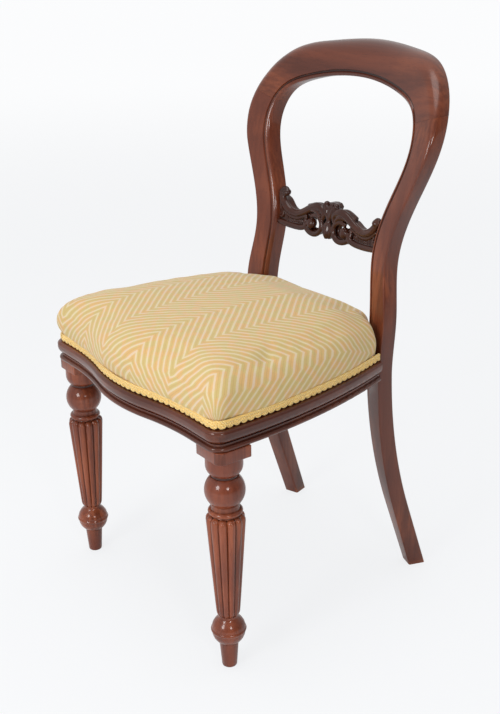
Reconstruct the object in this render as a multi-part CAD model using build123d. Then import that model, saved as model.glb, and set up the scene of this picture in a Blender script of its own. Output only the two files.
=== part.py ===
from build123d import *
import os
from math import asin, cos, degrees, radians, sin, sqrt

os.makedirs("parts", exist_ok=True)

# Balloon back dining chair, millimetres.
# While it is built, x runs across the chair, y runs back from the front legs and z up from the floor.
# The finished chair is moved so that the origin lies on the floor under the middle of its outline.

# ---- seat frame ----
RAIL_BOTTOM = 382.5          # underside of the seat rails above the floor
FRONT_LEG_SPACING = 437.0    # axis to axis
RAIL_WIDTH = 44.0            # seat rail, outside to inside
BEAD_HEIGHT = 7.8            # small bead along the bottom of the rail
BEAD_FLAT = 0.2              # flat left in the middle of its edge
GROOVE_HEIGHT = 3.8          # quirk between the bead and the large moulding
GROOVE_DEPTH = 5.0
OVOLO_HEIGHT = 22.4          # large rounded moulding above the quirk
OVOLO_PROUD = 2.0            # how far it stands out past the bead
OVOLO_TOP_ROUND = 5.5
OVOLO_UNDER_ROUND = 13.0
FRONT_OVERHANG = 5.5         # bead in front of the leg blocks
SIDE_OVERHANG = 0.0          # bead outside the leg blocks, flush with them
POST_OVERHANG = 5.5          # bead outside the rear posts
CORNER_RADIUS = 24.0
BOW_DEPTH = 21.0             # serpentine front: how far the middle bows out
BOW_HALF_SPAN = 180.0
BOW_INFLECTION = 75.0        # half width of its convex middle
PLAN_OVERRUN = 80.0          # how far the plan's sides run on behind the rear posts
BACK_RAIL_THICKNESS = 24.0
BACK_RAIL_SETBACK = 2.5      # behind the front faces of the rear posts

# ---- front legs: turned and reeded, with a square block at the top ----
BLOCK_WIDTH = 58.0
BLOCK_HEIGHT = 19.0
BLOCK_CORNER = 12.0
TENON_RADIUS = 12.0
TENON_LENGTH = 26.0
FOOT_BOTTOM_RADIUS = 11.5
FOOT_TOP_RADIUS = 15.0
FOOT_HEIGHT = 44.7
COLLAR_RADIUS = 26.4
COLLAR_HEIGHT = 44.7
COLLAR_BEAD = 1.2
NECK_HEIGHT = 3.6
REED_COUNT = 12
SHAFT_BOTTOM_RADIUS = 18.7
SHAFT_TOP_RADIUS = 30.3
REED_DEPTH = 0.125           # depth of the valleys as a share of the shaft's radius there
SHAFT_START = 7.5            # height of the chamfer under the reeds
SHAFT_CHAMFER = 2.6          # how far the chamfer draws in
SHAFT_SHOULDER = 9.5         # height of their rounded tops
REED_TIP_EASE = 0.9          # how far the tops draw in at two thirds of that height
REED_TIP_DRAW = 3.2          # and at their ends
RING_RADIUS = 26.0
RING_HEIGHT = 8.0
RING_NECK_RADIUS = 21.6
RING_GAP = 3.0
BALL_RADIUS = 30.8
BALL_NECK_HEIGHT = 4.8
CUP_RADIUS = 28.2
CUP_CURVE_HEIGHT = 12.5
CUP_RIM_HEIGHT = 15.7
CUP_FULLNESS = (0.18, 0.42)  # middle of the cup's curve, as shares in from its rim and down from it
BALL_UNDER_GAP = 8.4         # ring neck showing under the ball

# ---- back: one board, dished in plan and swept back as it rises ----
BACK_FACE_Y = 352.8          # front face on the centre line, at the foot of the sweep
SWEEP_RISE = 6.2             # the foot of the sweep above the rails' underside
BACK_THICKNESS = 29.5
DISH_RADIUS = 900.0
BACK_SWEEP_RADIUS = 1385.0   # of the front face, 234 mm out from the centre line
DISH_REFERENCE = 234.0
FRONT_ROUND = 9.0            # rounding of the outer front arris
EDGE_ROUND = 3.0
# outer outline: half width and height above the rails' underside
SEAT_POINT = (182.0, SWEEP_RISE)
HIP_POINT = (185.6, 103.5)
WAIST_POINT = (172.8, 190.0)
FLARE_POINT = (201.3, 292.5)
SHOULDER_POINT = (232.6, 396.0)
TURN_POINT = (214.4, 454.0)
CREST_END_POINT = (166.2, 495.0)
CREST_POINT = (103.0, 508.8)
CREST_RISE = 516.5
# width of the frame's member at the same places
SEAT_MEMBER = 40.5
HIP_MEMBER = 49.4
WAIST_MEMBER = 44.4
FLARE_MEMBER = 47.8
SHOULDER_MEMBER = 55.2
CREST_MEMBER = 57.5
# the inner outline's own points, and how much higher its hip, waist and shoulder lie
INNER_HIP_SHIFT = 24.0
INNER_WAIST_SHIFT = 12.0
INNER_SHOULDER_SHIFT = -14.0
INNER_TURN_POINT = (161.0, 421.5)
INNER_CREST_POINT = (115.0, 444.0)
JOINT_POINT = (209.0, 418.0)     # middle of the joint between post and crest rail
JOINT_TILT = 17.0
BOARD_MARGIN = 60.0          # spare board outside the outline before it is sawn

# ---- rear legs: sabre legs in one piece with the posts ----
LEG_SWEEP_RADIUS = 800.0
LEG_STRAIGHT_HEIGHT = 131.0  # below this the leg runs straight to the floor
LEG_FOOT_HALF_SPACING = 173.0
LEG_FOOT_WIDTH = 28.2
LEG_FOOT_DEPTH = 30.5
LEG_FOOT_TURN = 18.7         # the foot is turned outwards by this many degrees
LEG_STATIONS = 6

# ---- carved rail across the back ----
CARVED_SETBACK = 8.0
CARVED_THICKNESS = 16.0
CARVED_HOUSING = 7.0         # depth that its ends are let into the posts
CARVED_RELIEF = 3.5
CURL_POINT = (121.0, 253.5)      # rolled tips beside the posts
CURL_INSIDE_POINT = (112.0, 244.0)
CURL_END_DROP = 4.0              # how much lower the curl meets the post
VALLEY_POINT = (90.0, 225.5)
LEAF_RISE_POINT = (57.0, 238.0)
LEAF_TOP_POINT = (30.0, 249.5)
CARVED_TOP_RISE = 252.5
CARVED_END_RISE = 201.0
BELLY_POINT = (78.0, 196.5)
VOLUTE_POINT = (33.0, 190.0)
DROP_RISE = 193.5
VOLUTE_CENTRE = (33.0, 212.0)
VOLUTE_HOLE = 9.0
VOLUTE_BOSS = 6.0
VOLUTE_RING = 6.0
VOLUTE_BOSS_HOLD = 1.0           # how far the boss runs into the hole's edge

# ---- joinery ----
DOWEL_RADIUS = 4.0
DOWEL_LENGTH = 36.0
CREST_DOWEL_SPACING = 26.0
SIDE_DOWEL_SPACING = 19.0
CORNER_BLOCK_LEG = 62.0
CORNER_BLOCK_HEIGHT = 26.0
SCREW_RADIUS = 2.2
SCREW_HEAD_RADIUS = 4.4
SCREW_HEAD_HEIGHT = 2.6
SCREW_LENGTH = 44.0
SCREW_FROM_CORNER = 34.0     # along each rail, from the block's square corner
SCREW_RECESS = 6.0

# ---- upholstery ----
GIMP_INSET = 8.0             # polished ledge left outside the braid
GIMP_THICKNESS = 2.0
GIMP_HEIGHT = 10.0
SOFT_GAP = 0.3
POST_GAP = 0.8
COVER_THICKNESS = 2.5
CUSHION_RISE = 88.0          # crown above the rails
CUSHION_FLAT = 12.0          # upright band behind the braid
CUSHION_BULGE = 8.5          # how far the sides swell out past that band
CUSHION_BACK_INSET = 3.0
CUSHION_SHOULDER = 0.66       # where the crown begins, as a share of its rise
CUSHION_CROWN_TURN = 80.0
CUSHION_STEPS = 6
STRAP_WIDTH = 50.0
STRAP_THICKNESS = 1.8
STRAP_COUNT = 3
STRAP_PITCH_X = 92.0
STRAP_PITCH_Y = 92.0
STRAP_INSET = 24.0           # strap ends inside the rail's outer face
STRAP_SHIFT = 12.0           # cross straps nearer the front than the middle
FOLD_SETBACK = 2.0           # folded strap end outside the rail's inner face
HESSIAN_THICKNESS = 1.0
HESSIAN_INSET = 18.0
TACK_RADIUS = 1.0
TACK_HEAD_RADIUS = 3.0
TACK_HEAD_HEIGHT = 0.9
TACK_LENGTH = 10.0
TACK_INSET = 7.0             # tacks from the strap's end
TACKS_PER_STRAP = 3
TACK_PITCH = 16.0
DUST_COVER_THICKNESS = 1.0
DUST_COVER_INSET = 12.0
DUST_TACK_COUNT = 4
DUST_TACK_PITCH = 70.0
DUST_TACK_INSET = 14.0

# ---- places that follow from the sizes above ----
leg_x = FRONT_LEG_SPACING / 2
rail_height = BEAD_HEIGHT + GROOVE_HEIGHT + OVOLO_HEIGHT
rail_top = RAIL_BOTTOM + rail_height
sweep_z = RAIL_BOTTOM + SWEEP_RISE
dish_centre_y = BACK_FACE_Y - DISH_RADIUS
far = 1000.0                 # longer than anything on the chair
slice_half = 0.5             # half thickness of a slice that measures a shape
near = 0.001


def dish_y(x, behind=0.0):
    """Depth of the back's front face at the foot of the sweep, or of a layer behind it."""
    return dish_centre_y + sqrt((DISH_RADIUS + behind) ** 2 - x * x)


sweep_axis_y = dish_y(DISH_REFERENCE) + BACK_SWEEP_RADIUS
post_outer = SEAT_POINT[0]
post_inner = SEAT_POINT[0] - SEAT_MEMBER
post_middle = (post_outer + post_inner) / 2
post_front_y = dish_y(post_outer)
back_rail_y = dish_y(post_inner) + BACK_RAIL_SETBACK
back_rail_rear_y = back_rail_y + BACK_RAIL_THICKNESS
cloth_back_y = back_rail_rear_y - CUSHION_BACK_INSET


def board_y(x, z, behind=0.0):
    """Depth of the swept and dished board at a place seen from the front."""
    radius = sweep_axis_y - dish_y(x, behind)
    return sweep_axis_y - sqrt(radius ** 2 - (z - sweep_z) ** 2)


def arch(points, tangents=None):
    """A smooth symmetrical line through the right half's (x, rise) points, from right to left."""
    left = [(-x, rise) for x, rise in reversed(points[:-1])]
    places = [Vector(x, 0, RAIL_BOTTOM + rise) for x, rise in points + left]
    if tangents is None:
        return Spline(*places)
    return Spline(*places, tangents=tangents)


def mirrored(shape):
    """The other hand of a left or right piece."""
    return mirror(shape, about=Plane.YZ)


def box_between(low, high):
    """A block given by two opposite corners."""
    size = [b - a for a, b in zip(low, high)]
    middle = [(a + b) / 2 for a, b in zip(low, high)]
    return Pos(*middle) * Box(*size)


def rod(start, direction, length, radius):
    """A round rod from a point along a direction."""
    return Solid.make_cylinder(radius, length, Plane(origin=start, z_dir=direction))


# ---- the back's board and outlines ----

def bent_board(behind, thickness):
    """A layer of the board that starts some way behind its front face."""
    half = SHOULDER_POINT[0] + BOARD_MARGIN
    front = ThreePointArc(
        (-half, dish_y(half, behind)), (0, dish_y(0, behind)), (half, dish_y(half, behind)))
    rear = ThreePointArc(
        (-half, dish_y(half, behind + thickness)), (0, dish_y(0, behind + thickness)),
        (half, dish_y(half, behind + thickness)))
    ends = [Line(front @ 0, rear @ 0), Line(front @ 1, rear @ 1)]
    plan = Pos(0, 0, sweep_z) * make_face([front, rear, *ends])
    rise_angle = degrees(asin((CREST_RISE + BOARD_MARGIN - SWEEP_RISE) / BACK_SWEEP_RADIUS))
    return revolve(plan, Axis((0, sweep_axis_y, sweep_z), (-1, 0, 0)), rise_angle)


def through_board(lines):
    """A front-view outline driven right through the back."""
    return extrude(make_face(lines), far, dir=(0, 1, 0))


def outer_line():
    points = [SEAT_POINT, HIP_POINT, WAIST_POINT, FLARE_POINT, SHOULDER_POINT, TURN_POINT,
              CREST_END_POINT, CREST_POINT, (0, CREST_RISE)]
    return arch(points, [(0, 0, 1), (0, 0, -1)])


def inner_line():
    members = [(SEAT_POINT, SEAT_MEMBER, 0), (HIP_POINT, HIP_MEMBER, INNER_HIP_SHIFT),
               (WAIST_POINT, WAIST_MEMBER, INNER_WAIST_SHIFT), (FLARE_POINT, FLARE_MEMBER, 0),
               (SHOULDER_POINT, SHOULDER_MEMBER, INNER_SHOULDER_SHIFT)]
    points = [(x - width, rise + shift) for (x, rise), width, shift in members]
    points += [INNER_TURN_POINT, INNER_CREST_POINT, (0, CREST_RISE - CREST_MEMBER)]
    return arch(points, [(0, 0, 1), (0, 0, -1)])


def balloon_frame():
    """Posts and crest rail as one, cut from the board."""
    outer = outer_line()
    inner = inner_line()
    outline = [outer, inner, Line(outer @ 0, inner @ 0), Line(outer @ 1, inner @ 1)]
    return through_board(outline) & bent_board(0, BACK_THICKNESS)


def rounded_member(member, outwards):
    """Round a member's four long edges, the outer front one most; outwards points away from the opening."""
    def outer_front(edge):
        return edge.center().dot(outwards) - edge.center().Y

    edges = sorted(sorted(member.edges(), key=lambda e: e.length)[-4:], key=outer_front)
    member = fillet(edges[:-1], EDGE_ROUND)
    last = max(sorted(member.edges(), key=lambda e: e.length)[-7:], key=outer_front)
    return fillet([last], FRONT_ROUND)


def leg_section(height):
    """The rear leg's section at a height: four rounded corners, turned outwards towards the floor."""
    drop = sweep_z - height
    bend = sweep_z - LEG_STRAIGHT_HEIGHT
    radius = LEG_SWEEP_RADIUS
    curved = min(drop, bend)
    back = radius - sqrt(radius ** 2 - curved ** 2)
    slope = bend / sqrt(radius ** 2 - bend ** 2)
    back += max(drop - bend, 0) * slope
    share = drop / sweep_z
    top_front = [Vector(x, dish_y(x), 0) for x in (post_inner, post_outer)]
    top_rear = [Vector(x, dish_y(x, BACK_THICKNESS), 0) for x in (post_inner, post_outer)]
    middle_y = (top_front[0].Y + top_front[1].Y + top_rear[0].Y + top_rear[1].Y) / 4
    turn = radians(LEG_FOOT_TURN)
    across = Vector(cos(turn), -sin(turn), 0) * (LEG_FOOT_WIDTH / 2)
    deep = Vector(sin(turn), cos(turn), 0) * (LEG_FOOT_DEPTH / 2)
    foot = Vector(LEG_FOOT_HALF_SPACING, middle_y, 0)
    foot_front = [foot - across - deep, foot + across - deep]
    foot_rear = [foot - across + deep, foot + across + deep]
    shift = Vector(0, back, height)
    front = [a + (b - a) * share + shift for a, b in zip(top_front, foot_front)]
    rear = [a + (b - a) * share + shift for a, b in zip(top_rear, foot_rear)]
    edges = [RadiusArc(front[0], front[1], DISH_RADIUS), Line(front[1], rear[1]),
             RadiusArc(rear[0], rear[1], DISH_RADIUS + BACK_THICKNESS), Line(rear[0], front[0])]
    section = make_face(edges)
    corners = section.vertices().sort_by(lambda corner: (corner.center() - front[1]).length)
    section = fillet(corners[1:], EDGE_ROUND)
    front_outer = section.vertices().sort_by(lambda corner: (corner.center() - front[1]).length)[0]
    return fillet(front_outer, FRONT_ROUND)


def right_sabre_leg():
    """The rear leg below the foot of the sweep."""
    curved = [sweep_z + (LEG_STRAIGHT_HEIGHT - sweep_z) * i / (LEG_STATIONS - 1)
              for i in range(LEG_STATIONS)]
    upper = loft([leg_section(z) for z in curved])
    lower = loft([leg_section(LEG_STRAIGHT_HEIGHT), leg_section(0)], ruled=True)
    return upper + lower


def right_post_space():
    """Everything below the joint between the right post and the crest rail."""
    x, rise = JOINT_POINT
    plane = Plane(origin=(x, 0, RAIL_BOTTOM + rise)) * Rot(0, -JOINT_TILT, 0)
    below = plane * Pos(0, 0, -far / 2) * Box(far, 2 * far, far)
    return below & box_between((x / 2, -far, 0), (far, far, far))


# ---- carved rail ----

def carved_lines():
    """The carved rail's outline seen from the front; its ends run on into the posts."""
    end = WAIST_POINT[0] - WAIST_MEMBER + CARVED_HOUSING
    top = arch([(end, CURL_POINT[1] - CURL_END_DROP), CURL_POINT, CURL_INSIDE_POINT, VALLEY_POINT,
                LEAF_RISE_POINT, LEAF_TOP_POINT, (0, CARVED_TOP_RISE)])
    bottom = arch([(end, CARVED_END_RISE), BELLY_POINT, VOLUTE_POINT, (0, DROP_RISE)])
    return [top, bottom, Line(top @ 0, bottom @ 0), Line(top @ 1, bottom @ 1)]


def volute_rods(radius, outwards=0.0):
    """Round rods driven through the back at the two volutes."""
    x, rise = VOLUTE_CENTRE
    return [rod((hand * (x + outwards), 0, RAIL_BOTTOM + rise), (0, 1, 0), far, radius) for hand in (-1, 1)]


def carved_rail():
    """The whole carved rail: two scrolling arms with pierced volutes and a drop between them."""
    whole = through_board(carved_lines())
    panel = whole & bent_board(CARVED_SETBACK, CARVED_THICKNESS)
    raised_layer = bent_board(CARVED_SETBACK - CARVED_RELIEF, CARVED_THICKNESS)
    bosses = volute_rods(VOLUTE_BOSS, VOLUTE_HOLE - VOLUTE_BOSS + VOLUTE_BOSS_HOLD)
    for ring, hole, boss in zip(volute_rods(VOLUTE_HOLE + VOLUTE_RING), volute_rods(VOLUTE_HOLE), bosses):
        panel += ring & whole & raised_layer
        panel -= hole - boss
    return panel


# ---- seat plan ----

def seat_plan(inset, back_y):
    """The seat's outline, inset from the widest line of the rail's moulding, closed at a depth."""
    corner_x = leg_x + BLOCK_WIDTH / 2 + SIDE_OVERHANG + OVOLO_PROUD
    front_y = -BLOCK_WIDTH / 2 - FRONT_OVERHANG - OVOLO_PROUD
    radius = CORNER_RADIUS + OVOLO_PROUD
    side_y = front_y + radius
    rise = post_front_y - side_y
    narrowing = corner_x - (post_outer + POST_OVERHANG + OVOLO_PROUD)
    side_radius = (rise ** 2 + narrowing ** 2) / (2 * narrowing)
    beyond = rise + PLAN_OVERRUN
    side_end = corner_x - (side_radius - sqrt(side_radius ** 2 - beyond ** 2))
    turn_y = front_y - BOW_DEPTH * (1 - BOW_INFLECTION / BOW_HALF_SPAN)
    bow = (0, front_y - BOW_DEPTH)
    turn = (BOW_INFLECTION, turn_y)
    hollow = TangentArc((BOW_HALF_SPAN, front_y), turn, tangent=(-1, 0))
    full = ThreePointArc(turn, bow, (-turn[0], turn_y))
    hollow_left = TangentArc((-BOW_HALF_SPAN, front_y), (-turn[0], turn_y), tangent=(1, 0))
    edges = [hollow, full, hollow_left]
    for hand in (-1, 1):
        corner = ThreePointArc(
            (hand * (corner_x - radius), front_y),
            (hand * (corner_x - radius * (1 - sqrt(0.5))), front_y + radius * (1 - sqrt(0.5))),
            (hand * corner_x, side_y))
        side = TangentArc((hand * corner_x, side_y), (hand * side_end, side_y + beyond), tangent=(0, 1))
        edges += [Line((hand * BOW_HALF_SPAN, front_y), corner @ 0), corner, side]
    edges.append(Line((-side_end, side_y + beyond), (side_end, side_y + beyond)))
    face = make_face(edges)
    if inset:
        face = offset(face, amount=-inset, kind=Kind.INTERSECTION)
    keep = Pos(0, back_y - far) * Rectangle(2 * far, 2 * far)
    return face & keep


def slab(inset, back_y, low, high):
    """A flat layer with the seat's outline."""
    return Pos(0, 0, low) * extrude(seat_plan(inset, back_y), high - low)


def moulded_layer(inset, low, high, top_round, under_round):
    """A layer of the rail's moulding with its outer edges rounded."""
    layer = slab(inset, post_front_y, low, high)
    rim = [e for e in layer.edges() if abs(e.center().Z - high) < near and e.center().Y < post_front_y - near]
    layer = fillet(rim, top_round)
    rim = [e for e in layer.edges() if abs(e.center().Z - low) < near and e.center().Y < post_front_y - near]
    return fillet(rim, under_round)


def seat_ring():
    """The moulded front and sides of the seat frame before they are cut apart."""
    bead_round = (BEAD_HEIGHT - BEAD_FLAT) / 2
    bead_top = RAIL_BOTTOM + BEAD_HEIGHT
    groove_top = bead_top + GROOVE_HEIGHT
    ring = moulded_layer(OVOLO_PROUD, RAIL_BOTTOM, bead_top, bead_round, bead_round)
    ring += slab(OVOLO_PROUD + GROOVE_DEPTH, post_front_y, bead_top, groove_top)
    ring += moulded_layer(0, groove_top, rail_top, OVOLO_TOP_ROUND, OVOLO_UNDER_ROUND)
    behind_rail = slab(POST_OVERHANG + OVOLO_PROUD, back_rail_y, RAIL_BOTTOM, rail_top)
    ring += behind_rail & box_between((-post_outer, 0, 0), (post_outer, far, far))
    return ring - slab(RAIL_WIDTH, far, RAIL_BOTTOM, rail_top)


def right_mitre():
    """The part of the seat frame that belongs to the right side rail."""
    corners = [(leg_x - far, far), (leg_x + far, -far), (leg_x + far, far)]
    plan = make_face(Polyline(*corners, close=True)) & (Pos(far / 2, 0) * Rectangle(far, 4 * far))
    return Pos(0, 0, RAIL_BOTTOM) * extrude(plan, rail_height)


# ---- front leg ----

def reed_section(height, radius):
    """The shaft's section at a height: rounded reeds, as arcs between the valleys."""
    valley = radius * (1 - REED_DEPTH)
    step = 360 / REED_COUNT
    arcs = []
    for i in range(REED_COUNT):
        angles = [radians(step * (i + part)) for part in (0, 0.5, 1)]
        radii = (valley, radius, valley)
        arcs.append(ThreePointArc(*[(r * cos(a), r * sin(a), height) for r, a in zip(radii, angles)]))
    return make_face(arcs)


def front_leg():
    """A front leg about its own axis, standing on the floor."""
    collar_z = FOOT_HEIGHT + COLLAR_HEIGHT
    neck_z = collar_z + NECK_HEIGHT
    cup_z = RAIL_BOTTOM - BLOCK_HEIGHT - CUP_RIM_HEIGHT
    ball_top = cup_z - CUP_CURVE_HEIGHT - BALL_NECK_HEIGHT
    half_ball = sqrt(BALL_RADIUS ** 2 - RING_NECK_RADIUS ** 2)
    ball_z = ball_top - half_ball
    ring_top = ball_z - half_ball - BALL_UNDER_GAP
    ring_bottom = ring_top - RING_HEIGHT
    shaft_top = ring_bottom - RING_GAP
    collar_middle = FOOT_HEIGHT + COLLAR_HEIGHT / 2
    lower = make_face([
        Polyline((0, 0, 0), (FOOT_BOTTOM_RADIUS, 0, 0), (FOOT_TOP_RADIUS, 0, FOOT_HEIGHT)),
        ThreePointArc((FOOT_TOP_RADIUS, 0, FOOT_HEIGHT), (COLLAR_RADIUS, 0, collar_middle),
                      (FOOT_TOP_RADIUS, 0, collar_z)),
        Polyline((FOOT_TOP_RADIUS, 0, collar_z), (FOOT_TOP_RADIUS, 0, neck_z), (0, 0, neck_z), (0, 0, 0))])
    bead = Pos(0, 0, collar_middle) * Torus(COLLAR_RADIUS, COLLAR_BEAD)
    upper = make_face([
        Polyline((0, 0, shaft_top), (RING_NECK_RADIUS, 0, shaft_top), (RING_NECK_RADIUS, 0, ring_bottom),
                 (RING_RADIUS - RING_HEIGHT / 4, 0, ring_bottom)),
        ThreePointArc((RING_RADIUS - RING_HEIGHT / 4, 0, ring_bottom),
                      (RING_RADIUS, 0, (ring_bottom + ring_top) / 2),
                      (RING_RADIUS - RING_HEIGHT / 4, 0, ring_top)),
        Polyline((RING_RADIUS - RING_HEIGHT / 4, 0, ring_top), (RING_NECK_RADIUS, 0, ring_top),
                 (RING_NECK_RADIUS, 0, ball_z - half_ball)),
        ThreePointArc((RING_NECK_RADIUS, 0, ball_z - half_ball), (BALL_RADIUS, 0, ball_z),
                      (RING_NECK_RADIUS, 0, ball_top)),
        Line((RING_NECK_RADIUS, 0, ball_top), (RING_NECK_RADIUS, 0, ball_top + BALL_NECK_HEIGHT)),
        ThreePointArc(
            (RING_NECK_RADIUS, 0, ball_top + BALL_NECK_HEIGHT),
            (CUP_RADIUS - (CUP_RADIUS - RING_NECK_RADIUS) * CUP_FULLNESS[0], 0,
             cup_z - CUP_CURVE_HEIGHT * CUP_FULLNESS[1]),
            (CUP_RADIUS, 0, cup_z)),
        Polyline((CUP_RADIUS, 0, cup_z), (CUP_RADIUS, 0, cup_z + CUP_RIM_HEIGHT),
                 (0, 0, cup_z + CUP_RIM_HEIGHT), (0, 0, shaft_top))])
    leg = revolve(lower, Axis.Z) + bead + revolve(upper, Axis.Z)
    reeds = [
        (neck_z, SHAFT_BOTTOM_RADIUS - SHAFT_CHAMFER), (neck_z + SHAFT_START, SHAFT_BOTTOM_RADIUS),
        (shaft_top - SHAFT_SHOULDER, SHAFT_TOP_RADIUS),
        (shaft_top - SHAFT_SHOULDER / 3, SHAFT_TOP_RADIUS - REED_TIP_EASE),
        (shaft_top, SHAFT_TOP_RADIUS - REED_TIP_DRAW)]
    leg += loft([reed_section(z, r) for z, r in reeds], ruled=True)
    block = box_between((-BLOCK_WIDTH / 2, -BLOCK_WIDTH / 2, RAIL_BOTTOM - BLOCK_HEIGHT),
                        (BLOCK_WIDTH / 2, BLOCK_WIDTH / 2, RAIL_BOTTOM))
    near_corner = block.edges().filter_by(Axis.Z).sort_by(lambda e: e.center().X - e.center().Y)[-1]
    leg += fillet(near_corner, BLOCK_CORNER)
    leg += rod((0, 0, RAIL_BOTTOM), (0, 0, 1), TENON_LENGTH, TENON_RADIUS)
    return leg


# ---- cushion ----

def cushion_form(inset, lowered, start):
    """The cushion's crowned form, with drawn-in sides, or a smaller one inside it."""
    base = seat_plan(GIMP_INSET + GIMP_THICKNESS + SOFT_GAP, cloth_back_y)
    corner_x = leg_x + BLOCK_WIDTH / 2
    centre_y = back_rail_rear_y / 2
    rise = CUSHION_RISE - lowered
    shoulder = CUSHION_SHOULDER * rise
    sections = [(start, 0), (CUSHION_FLAT, 0)]
    for i in range(1, CUSHION_STEPS + 1):
        turn = radians(180 * i / CUSHION_STEPS)
        lift = CUSHION_FLAT + (shoulder - CUSHION_FLAT) * i / CUSHION_STEPS
        sections.append((lift, CUSHION_BULGE * sin(turn)))
    for i in range(1, CUSHION_STEPS + 1):
        turn = radians(CUSHION_CROWN_TURN * i / CUSHION_STEPS)
        sections.append((shoulder + (rise - shoulder) * sin(turn) / sin(radians(CUSHION_CROWN_TURN)),
                         -corner_x * (1 - cos(turn))))
    faces = []
    for height, growth in sections:
        share = (corner_x + growth - inset) / corner_x
        faces.append(Pos(0, centre_y * (1 - share), rail_top + height) * scale(base, by=share))
    return loft(faces, ruled=True)


# ---- joinery ----

def across_hollow(hollow, y):
    """Half the width of the space between the side rails at a depth."""
    thin = box_between((0, y - slice_half, 0), (far, y + slice_half, far))
    return (hollow & thin).bounding_box().max.X


def corner_block(corner_x, corner_y, towards, hollow):
    """A three-sided glue block in a right inner corner; towards is the way along y into the frame."""
    spare = RAIL_WIDTH / 2
    low = RAIL_BOTTOM + (rail_height - CORNER_BLOCK_HEIGHT) / 2
    points = [(corner_x + spare, corner_y - towards * spare),
              (corner_x - CORNER_BLOCK_LEG, corner_y - towards * spare),
              (corner_x - CORNER_BLOCK_LEG, corner_y), (corner_x, corner_y + towards * CORNER_BLOCK_LEG),
              (corner_x + spare, corner_y + towards * CORNER_BLOCK_LEG)]
    block = Pos(0, 0, low) * extrude(make_face(Polyline(*points, close=True)), CORNER_BLOCK_HEIGHT)
    return block & hollow


def block_screw(seat, direction, length, radius, head_length):
    """A screw's shank and head, or the hole for it when the head runs on outwards."""
    into = Vector(*direction)
    shank = rod(seat, into, length, radius)
    return shank + rod(Vector(*seat) - into * head_length, into, head_length, SCREW_HEAD_RADIUS)


def block_screws(corner_x, corner_y, towards, head_length):
    """The two screws of a corner block, one into each rail."""
    z = RAIL_BOTTOM + rail_height / 2
    short = CORNER_BLOCK_LEG - SCREW_FROM_CORNER - SCREW_RECESS
    seats = [((corner_x - short, corner_y + towards * SCREW_FROM_CORNER, z), (1, 0, 0)),
             ((corner_x - SCREW_FROM_CORNER, corner_y + towards * short, z), (0, -towards, 0))]
    return [block_screw(seat, way, SCREW_LENGTH, SCREW_RADIUS, head_length) for seat, way in seats]


def centred_rod(middle, direction, length, radius):
    """A rod whose middle lies at a place."""
    way = Vector(*direction).normalized()
    return rod(Vector(*middle) - way * (length / 2), way, length, radius)


def crest_dowels():
    """Dowels across the right joint between post and crest rail."""
    tilt = radians(JOINT_TILT)
    up = (-sin(tilt), cos(tilt))
    dowels = []
    for side in (-0.5, 0.5):
        x = JOINT_POINT[0] + side * CREST_DOWEL_SPACING * cos(tilt)
        z = RAIL_BOTTOM + JOINT_POINT[1] + side * CREST_DOWEL_SPACING * sin(tilt)
        middle = (x, board_y(x, z, BACK_THICKNESS / 2), z)
        slope = board_y(x + up[0], z + up[1], BACK_THICKNESS / 2) - middle[1]
        dowels.append(centred_rod(middle, (up[0], slope, up[1]), DOWEL_LENGTH, DOWEL_RADIUS))
    return dowels


def side_rail_dowels():
    """Dowels from the right side rail into the post."""
    middle_z = RAIL_BOTTOM + rail_height / 2
    return [centred_rod((post_middle, dish_y(post_middle), middle_z + side * SIDE_DOWEL_SPACING),
                        (0, 1, 0), DOWEL_LENGTH, DOWEL_RADIUS) for side in (-0.5, 0.5)]


def back_rail_dowel():
    """The dowel from the back rail into the right post."""
    middle = (post_inner, back_rail_y + BACK_RAIL_THICKNESS / 2, RAIL_BOTTOM + rail_height / 2)
    return centred_rod(middle, (1, 0, 0), DOWEL_LENGTH, DOWEL_RADIUS)


# ---- upholstery ----

def clear_of_posts(shape, post, gap):
    """Cut a soft piece back from both rear posts, and end it between them behind their middles."""
    inner = HIP_POINT[0] - HIP_MEMBER - gap
    behind = box_between((inner, post_front_y + BACK_THICKNESS / 2, 0), (far, far, far))
    cutters = [Pos(side, -gap, 0) * post for side in (-gap, gap)] + [behind]
    for cutter in cutters:
        shape = shape - cutter - mirrored(cutter)
    return shape


def gimp_band():
    """The braid that covers the edge of the cloth, all round the seat."""
    high = rail_top + GIMP_HEIGHT
    outer = slab(GIMP_INSET, cloth_back_y + GIMP_THICKNESS, rail_top, high)
    return outer - slab(GIMP_INSET + GIMP_THICKNESS, cloth_back_y, rail_top, high)


def strap_places(pitch, middle):
    """Middles of the webbing straps that run one way."""
    return [middle + pitch * (i - (STRAP_COUNT - 1) / 2) for i in range(STRAP_COUNT)]


def long_strap(x, area):
    """A strap from the front rail to the back rail."""
    low = (x - STRAP_WIDTH / 2, -far, rail_top)
    return area & box_between(low, (x + STRAP_WIDTH / 2, far, rail_top + STRAP_THICKNESS))


def cross_strap(y, area, free_half):
    """A strap from side to side over the long ones, with its ends folded under on the rails."""
    front, rear = y - STRAP_WIDTH / 2, y + STRAP_WIDTH / 2
    band = area & box_between((-far, front, rail_top), (far, rear, rail_top + 2 * STRAP_THICKNESS))
    return band - box_between((-free_half, -far, 0), (free_half, far, rail_top + STRAP_THICKNESS))


def tack(place, direction):
    """A tack whose head lies on a surface at a place; direction points into the wood."""
    into = Vector(*direction)
    shank = rod(place, into, TACK_LENGTH, TACK_RADIUS)
    return shank + rod(Vector(*place) - into * TACK_HEAD_HEIGHT, into, TACK_HEAD_HEIGHT, TACK_HEAD_RADIUS)


def row(pitch, count):
    """Steps to either side of a middle."""
    return [pitch * (i - (count - 1) / 2) for i in range(count)]


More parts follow.
